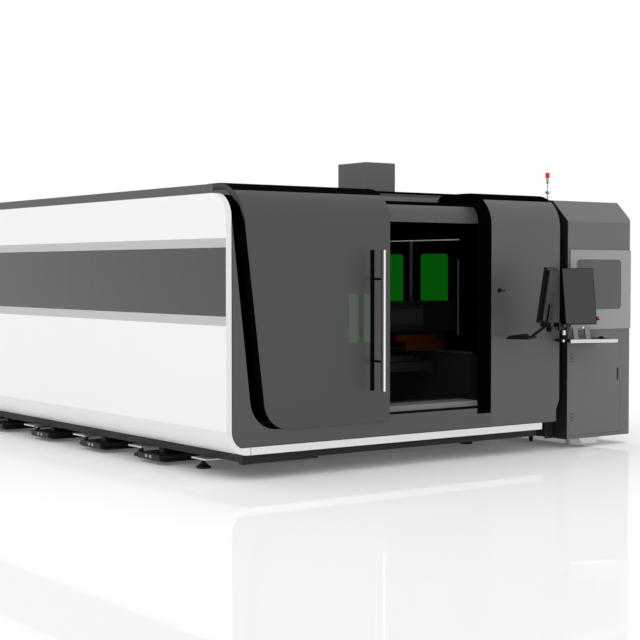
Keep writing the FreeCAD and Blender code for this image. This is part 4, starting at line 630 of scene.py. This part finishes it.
# ---------------------------------------------------------------- cabin interior
# Matt black inside, so that stray laser light dies. Green laser-safe panes line the right
# wall, each held by a rubber channel, under one long opal lamp. The panes' green glow is
# painted light, and a light strip on the wall's front edge is a painted highlight.
# Painted light: the wall panes glow green where light from outside would come through them.
green_pane = laser_acrylic("laser_safe_acrylic_wall", "062806", "055608", 0.75)
opal_lamp = new_finish("opal_lamp_cover")
lamp_place = add(opal_lamp, "ShaderNodeTexCoord")
lamp_cells = add(opal_lamp, "ShaderNodeTexNoise", {"Scale": 1000 / 60}, {"Vector": (lamp_place, "Object")})
lamp_tones = {6: linear("f4f6f8"), 7: linear("ffffff")}
lamp_colour = add(opal_lamp, "ShaderNodeMix", lamp_tones, {0: (lamp_cells, 0)}, data_type="RGBA")
opal = add(opal_lamp, "ShaderNodeBsdfPrincipled", {"Roughness": 0.4, "Emission Strength": 0.15},
           {"Base Color": (lamp_colour, 2), "Emission Color": (lamp_colour, 2)})
add(opal_lamp, "ShaderNodeOutputMaterial", {}, {"Surface": (opal, 0)})
coat_nodes(interior_black, "black_enamel", "inner_side_wall")
coat_nodes(green_pane, "laser_glass", "green_windows")
coat_nodes(opal_lamp, "lamp_white", "light_strip")

post_and_highlight_paint = powder_coat("satin_aluminium_paint_and_highlight", "8c8e90", 0.4)
GREEN_FIRST, GREEN_PITCH, GREEN_WIDTH, WALL_X = 1354.0, 690.0, 414.0, 3450.0
shape = bmesh.new()
for i in range(9):
    y = GREEN_FIRST + GREEN_PITCH * i + (GREEN_WIDTH + GREEN_PITCH) / 2
    block(shape, at(WALL_X - 21.2, y - 11.2, 1120), at(WALL_X - 19.8, y + 11.2, 1944), 0.3)
    block(shape, at(WALL_X - 19.8, y - 11.2, 1120), at(WALL_X, y - 9.8, 1944), 0.3)
# Painted highlight: a thin light strip on the wall's front edge stands in for the light line that edge
# catches.
block(shape, at(WALL_X - 9, 1191, 1020), at(WALL_X - 0.2, 1205, 1760), 0.6)
make_piece("post_covers_and_edge_highlight", shape, post_and_highlight_paint, "machine")

# ---------------------------------------------------------------- gantry and cutting head
# Aluminium gantry on cast end trucks. Its beam and carriage are near black and its orange drive
# dark brown: painted shade of the dark cabin. A pleated black bellows keeps dust off its guides,
# and the head is turned and anodised aluminium with a copper nozzle.
PLEAT = 24.0
# Painted shade: the near black of the beam and carriage and the dark brown of the orange drive stand in
# for the cabin's shade.
gantry_shaded_enamel = powder_coat("gantry_enamel_painted_shade", "1d1f21", 0.4, shine=0.2)
chuck_enamel = powder_coat("grey_machine_enamel", "7d8084", 0.4)
orange_enamel = powder_coat("orange_drive_painted_shade", "3c1c05", 0.4, shine=0.2)
anodised = worked_metal("clear_anodised_aluminium", "b9bcc0", 0.3, (1, 1, 0.1), 4)
copper = worked_metal("turned_copper_nozzle", "b87048", 0.25, (1, 1, 1), 2)
rubber = powder_coat("pleated_rubber_cloth", "101010", 0.75, 0.1, 5.0, 0.3)
coat_nodes(gantry_shaded_enamel, "bed_grey", "gantry_beam")
coat_nodes(orange_enamel, "orange_enamel", "gantry_drive")
coat_nodes(gantry_shaded_enamel, "white_enamel", "x_carriage")
coat_nodes(anodised, "head_metal", "cutting_head")

beam_left = size_from_left("gantry_beam")[0].x
shape = bmesh.new()
x, ridge = beam_left + 60, True
top, foot = [], []
while x < 3000:
    y = 1186.0 if ridge else 1198.0
    top.append(shape.verts.new(at(x, y, 1288)))
    foot.append(shape.verts.new(at(x, y, 1136)))
    x += PLEAT / 2
    ridge = not ridge
for k in range(len(top) - 1):
    shape.faces.new((foot[k], foot[k + 1], top[k + 1], top[k]))
bellows = make_piece("gantry_bellows", shape, rubber, "gantry")
thick = bellows.modifiers.new("cloth", "SOLIDIFY")
thick.thickness = 0.8 * MM

head_low, head_high = size_from_left("cutting_head")
head_x = (head_low.x + head_high.x) / 2
HEAD_Y = 1010.0
shape = bmesh.new()
for z, radius in ((105, 47), (170, 47.5), (260, 47), (380, 47)):
    turn(shape, [(44, 0), (radius, 0), (radius + 1, 3), (radius + 1, 9), (radius, 12), (44, 12)],
         at(head_x, HEAD_Y, head_low.z + z), steps=40)
for side, z in ((-1, 300), (1, 240)):
    port = at(head_x + 46 * side, HEAD_Y, head_low.z + z)
    turn(shape, [(10, 0), (12, 3), (12, 22), (8, 26)], port, (side, 0, 0), 20)
make_piece("head_collars", shape, anodised, "head")
shape = bmesh.new()
NOZZLE = [(5.4, 0.4), (8, 0.2), (13, 16), (17, 24), (17, 30), (15, 31)]
turn(shape, NOZZLE, at(head_x, HEAD_Y, head_low.z), steps=32)
make_piece("copper_nozzle", shape, copper, "head")

# ---------------------------------------------------------------- tube housing
# Mid grey powder-coated casing over the tube chucks, with a lighter sliding hatch that
# wraps the right corner. The hatch has a smoked window bonded in a rubber channel.
housing_coat = powder_coat("mid_grey_powder_coat", "606060", 0.42)
hatch_coat = powder_coat("light_grey_powder_coat", "929292", 0.4)
smoked_pane = smoked_acrylic("smoked_acrylic_pane", "4e504e", 0.15)
coat_nodes(housing_coat, "housing_grey", "housing_shell")
coat_nodes(hatch_coat, "hatch_grey", "hatch")
coat_nodes(smoked_pane, "dark_glass", "hatch_window")

HOUSING_PANELS = ((1000.0, 1500.0), (1680.0, 2180.0))
house_side = size_from_left("housing_shell")[1].x
shape = bmesh.new()
for y0, y1 in HOUSING_PANELS:
    x = house_side
    block(shape, at(x, y0, 420), at(x + 2, y1, 900), 0.6)
    z = 450.0
    while z < 870:
        rise = [at(x + 1.9, y0 + 30, z), at(x + 1.9, y1 - 30, z), at(x + 9.5, y1 - 30, z + 5),
                at(x + 9.5, y0 + 30, z + 5), at(x + 1.9, y0 + 30, z + 24), at(x + 1.9, y1 - 30, z + 24)]
        louvre(shape, rise)
        z += LOUVRE_PITCH
make_piece("housing_louvres", shape, housing_coat, "machine")

shape = bmesh.new()
for y0, y1 in HOUSING_PANELS:
    for y in (y0 + 14, y1 - 14):
        for z in (434.0, 660.0, 886.0):
            turn(shape, SCREW, at(house_side + 2, y, z), (1, 0, 0), 12)
make_piece("housing_screws", shape, zinc_plate, "machine")

# ---------------------------------------------------------------- console
# A steel cabinet in the housing's grey with a hinged door, below a desk plate edged with a
# bright anodised rail. The display stands on a polished bracket; a red mushroom-head stop
# button sits in a small box on its right edge.
desk_black = powder_coat("black_desk_laminate", "0c0c0c", 0.5, 0.05, 3.0, 0.1, 0.15)
bright_rail = worked_metal("bright_anodised_rail", "d2d2d2", 0.3, (0.05, 1, 1), 3, 0.02)
polished_plate = worked_metal("polished_bracket_steel", "7c7c7c", 0.2, (1, 1, 0.05), 4)
display_case = powder_coat("display_case_plastic", "070707", 0.4, 0.05, 4.0, shine=0.1)
display_back = powder_coat("display_back_steel", "303030", 0.45, 0.03, shine=0.05)
CONSOLE_TURN = 20.0
DISPLAY_TILT = 10.0


def stop_red(name, shade, roughness, glow):
    """Glossy moulded plastic in signal red; the lamp's cap also glows a little."""
    finish = new_finish(name)
    place = add(finish, "ShaderNodeTexCoord")
    swirl = add(finish, "ShaderNodeTexNoise", {"Scale": 1000 / 20}, {"Vector": (place, "Object")})
    shades = {6: linear(shade, 0.93), 7: linear(shade, 1.05)}
    colour = add(finish, "ShaderNodeMix", shades, {0: (swirl, 0)}, data_type="RGBA")
    values = {"IOR": 1.49, "Roughness": roughness, "Emission Strength": glow}
    links = {"Base Color": (colour, 2), "Emission Color": (colour, 2)}
    plastic = add(finish, "ShaderNodeBsdfPrincipled", values, links)
    add(finish, "ShaderNodeOutputMaterial", {}, {"Surface": (plastic, 0)})
    return finish


button_plastic = stop_red("moulded_red_button", "d81414", 0.25, 0.0)
screen_glass = smoked_acrylic("display_glass", "303030", 0.2)
coat_nodes(housing_coat, "housing_grey", "console_cabinet", "cabinet_door")
coat_nodes(desk_black, "desk_black", "desk_top")
coat_nodes(bright_rail, "rail_steel", "desk_rail")
coat_nodes(display_case, "screen_grey", "main_monitor", "side_monitor")
coat_nodes(polished_plate, "plate_steel", "monitor_stand")
coat_nodes(button_plastic, "button_red", "estop_button")

door_low, door_high = size_from_left("cabinet_door")
HINGE_DOT = [(6.5, 0), (6.5, 0.6), (5, 1.2)]
shape = bmesh.new()
for first in (810.0, 262.0):
    for k in range(3):
        for x in (door_low.x + 12, door_low.x + 36):
            turn(shape, HINGE_DOT, at(x, door_low.y, first + k * 30), (0, -1, 0), 14)
make_piece("hinge_screws", shape, moulded_black, "cabinet")
shape = bmesh.new()
edge_x, face = door_high.x, door_low.y
block(shape, at(edge_x - 39.5, face + 1, 610.5), at(edge_x - 20.5, face + 5, 729.5), 1.5)
block(shape, at(edge_x - 34, face - 2, 645), at(edge_x - 26, face + 2, 695), 1.5)
make_piece("latch_handle", shape, moulded_black, "cabinet")

DISPLAY_FOOT = at(3678, -216, 1163)
DISPLAY_W, DISPLAY_H = 310.0, 515.0
display_lie = (Matrix.Translation(DISPLAY_FOOT) @ Matrix.Rotation(math.radians(-CONSOLE_TURN), 4, "Z")
               @ Matrix.Rotation(math.radians(-DISPLAY_TILT), 4, "X"))


def screen(width, height, border):
    """Bonded front glass of a display, proud of its case by half a millimetre."""
    made = bmesh.new()
    block(made, (-width / 2 * MM + border * MM, -0.5 * MM, border * MM),
          (width / 2 * MM - border * MM, 1.0 * MM, (height - border) * MM), 0.3)
    return made


front_glass = screen(DISPLAY_W, DISPLAY_H, 5)
make_piece("display_screen", front_glass, screen_glass, "machine", display_lie)

shape = bmesh.new()
for k in range(9):
    block(shape, (-0.1, 0.038, 0.09 + k * 0.02), (0.1, 0.0392, 0.098 + k * 0.02), 0.4)
make_piece("display_vents", shape, display_back, "machine", display_lie)

stop_lie = display_lie @ Matrix.Translation(Vector((167, 1.5, 52)) * MM)
shape = bmesh.new()
turn(shape, [(7, 0), (14, 0), (14, 0.8), (12.5, 2), (7, 2), (7, 0)], Vector((0, 0, 0)), (0, -1, 0), 32)
open_ends(shape)
make_piece("stop_button_ring", shape, moulded_black, "machine", stop_lie)

MOUSE = (4010.0, -150.0, 1023.0)
shape = bmesh.new()
turn(shape, [(22, 0), (24, 3), (22, 10), (16, 17), (7, 21)], (0, 0, 0), steps=28)
for vertex in shape.verts:
    vertex.co.y *= 1.7
mouse = make_piece("mouse", shape, moulded_black, "machine",
                   Matrix.Translation(at(*MOUSE)) @ Matrix.Rotation(math.radians(-CONSOLE_TURN), 4, "Z"))
for face in mouse.data.polygons:
    face.use_smooth = True
shape = bmesh.new()
turn(shape, [(8, 0), (13, 5), (15, 12), (13, 19), (8, 24)], at(3689, -222, 1118), steps=24)
make_piece("bracket_knob", shape, chrome, "machine")

# ---------------------------------------------------------------- arm, second display and tray
# Black cast arm that turns on a chrome post, carrying a second display in a black case with
# a grey steel back, and below it a tray with a rubber-key keyboard.
SIDE_FACES = 122.5
SIDE_TILT = 8.0
SIDE_W, SIDE_H = 420.0, 480.0
SIDE_OFFSET, SIDE_LOW = 70.0, 1202.0
TRAY_REACH, TRAY_D, TRAY_TOP = 245.0, 200.0, 1066.0
KEY_ROWS, KEY_COLUMNS = 5, 15

arm_black = powder_coat("cast_black_enamel", "060606", 0.4, shine=0.1)
key_rubber = powder_coat("moulded_black_keys", "101010", 0.55, 0.06, 3.0, shine=0.15)
coat_nodes(chrome, "handle_chrome", "arm_post")
coat_nodes(arm_black, "black_enamel", "arm_link", "keyboard_tray")
coat_nodes(moulded_black, "keyboard_black", "keyboard")

side_foot = Matrix.Translation(at(3067, -416, 0))
side_turn = side_foot @ Matrix.Rotation(math.radians(SIDE_FACES + 90), 4, "Z")
side_lie = (side_turn @ Matrix.Translation(Vector((0, -SIDE_OFFSET, SIDE_LOW)) * MM)
            @ Matrix.Rotation(math.radians(-SIDE_TILT), 4, "X"))
make_piece("side_screen", screen(SIDE_W, SIDE_H, 8), screen_glass, "side_unit", side_lie)
shape = bmesh.new()
block(shape, (-0.186, 0.0496, 0.166), (0.186, 0.0512, 0.456), 0.5)
for x0, x1 in ((-0.186, -0.045), (0.045, 0.186)):
    block(shape, (x0, 0.0496, 0.024), (x1, 0.0512, 0.166), 0.5)
make_piece("side_display_back", shape, display_back, "side_unit", side_lie)

shape = bmesh.new()
pitch_x = (300.0 - 8) / KEY_COLUMNS
for row in range(KEY_ROWS):
    back = 24 + row * 18.5
    for column in range(KEY_COLUMNS):
        x = -146 + column * pitch_x
        y = -TRAY_REACH - TRAY_D / 2 + back
        z = TRAY_TOP + 10 + (back - 12 + 8) / 118 * 12 + 0.2
        low = Vector((x + 1.2, y, z - 1))
        high = Vector((x + pitch_x - 1.2, y + 15.5, z + 3.4))
        block(shape, low * MM, high * MM, 1.2)
make_piece("keys", shape, key_rubber, "side_unit", side_turn)

# ---------------------------------------------------------------- signal lamp
# Folding pole of plated tube with a red polycarbonate lens in ribbed rings on top.
lens_red = stop_red("red_polycarbonate_lens", "de0606", 0.3, 0.3)
coat_nodes(zinc_plate, "rail_steel", "lamp_pole")
coat_nodes(lens_red, "lamp_red", "lamp_red")
lamp_low, lamp_high = size_from_left("lamp_red")
lamp_x, lamp_y = (lamp_low.x + lamp_high.x) / 2, (lamp_low.y + lamp_high.y) / 2
shape = bmesh.new()
RIB = [(19.6, 0), (20.8, 1.4), (20.8, 3.4), (19.6, 4.8)]
for k in range(5):
    turn(shape, RIB, at(lamp_x, lamp_y, lamp_low.z + 3 + k * 8), steps=32)
make_piece("lens_ribs", shape, lens_red, "machine")
shape = bmesh.new()
for side in (-1, 1):
    clamp = at(lamp_x + 16 * side, lamp_y, lamp_low.z - 135)
    turn(shape, [(5, 0), (6, 1), (6, 3), (4, 4)], clamp, (side, 0, 0), 20)
make_piece("pole_clamp", shape, moulded_black, "machine")

# ---------------------------------------------------------------- tube section
# Grey primed girders with ground rails, and two cast chuck housings. The chucks are turned
# steel with hard jaws held by socket screws.
chuck_steel = worked_metal("turned_chuck_steel", "9a9c9e", 0.28, (1, 0.1, 1), 4)
coat_nodes(bed_primer, "bed_grey", "tube_bed")
coat_nodes(chuck_enamel, "housing_grey", "front_chuck_stand", "rear_chuck_stand")
coat_nodes(chuck_steel, "chuck_steel", "front_chuck", "rear_chuck")

for name, body in (("front_chuck", "chuck_front"), ("rear_chuck", "chuck_rear")):
    chuck_low, chuck_high = size_from_left(name)
    centre_x = (chuck_low.x + chuck_high.x) / 2
    centre_z = (chuck_low.z + chuck_high.z) / 2
    face_y = chuck_low.y + 50
    shape = bmesh.new()
    for k in range(12):
        angle = math.radians(15 + 30 * k)
        spot = at(centre_x + 165 * math.cos(angle), face_y, centre_z + 165 * math.sin(angle))
        turn(shape, [(9, 0), (9, 5), (7.5, 6.5), (4, 6.5), (4, 3)], spot, (0, -1, 0), 16)
    for k in range(4):
        angle = math.radians(90 * k)
        spot = at(centre_x + 120 * math.cos(angle), chuck_low.y, centre_z + 120 * math.sin(angle))
        turn(shape, [(8, -1), (8, 0), (4.5, 0), (4.5, -4)], spot, (0, -1, 0), 16)
    make_piece(name + "_screws", shape, zinc_plate, body)
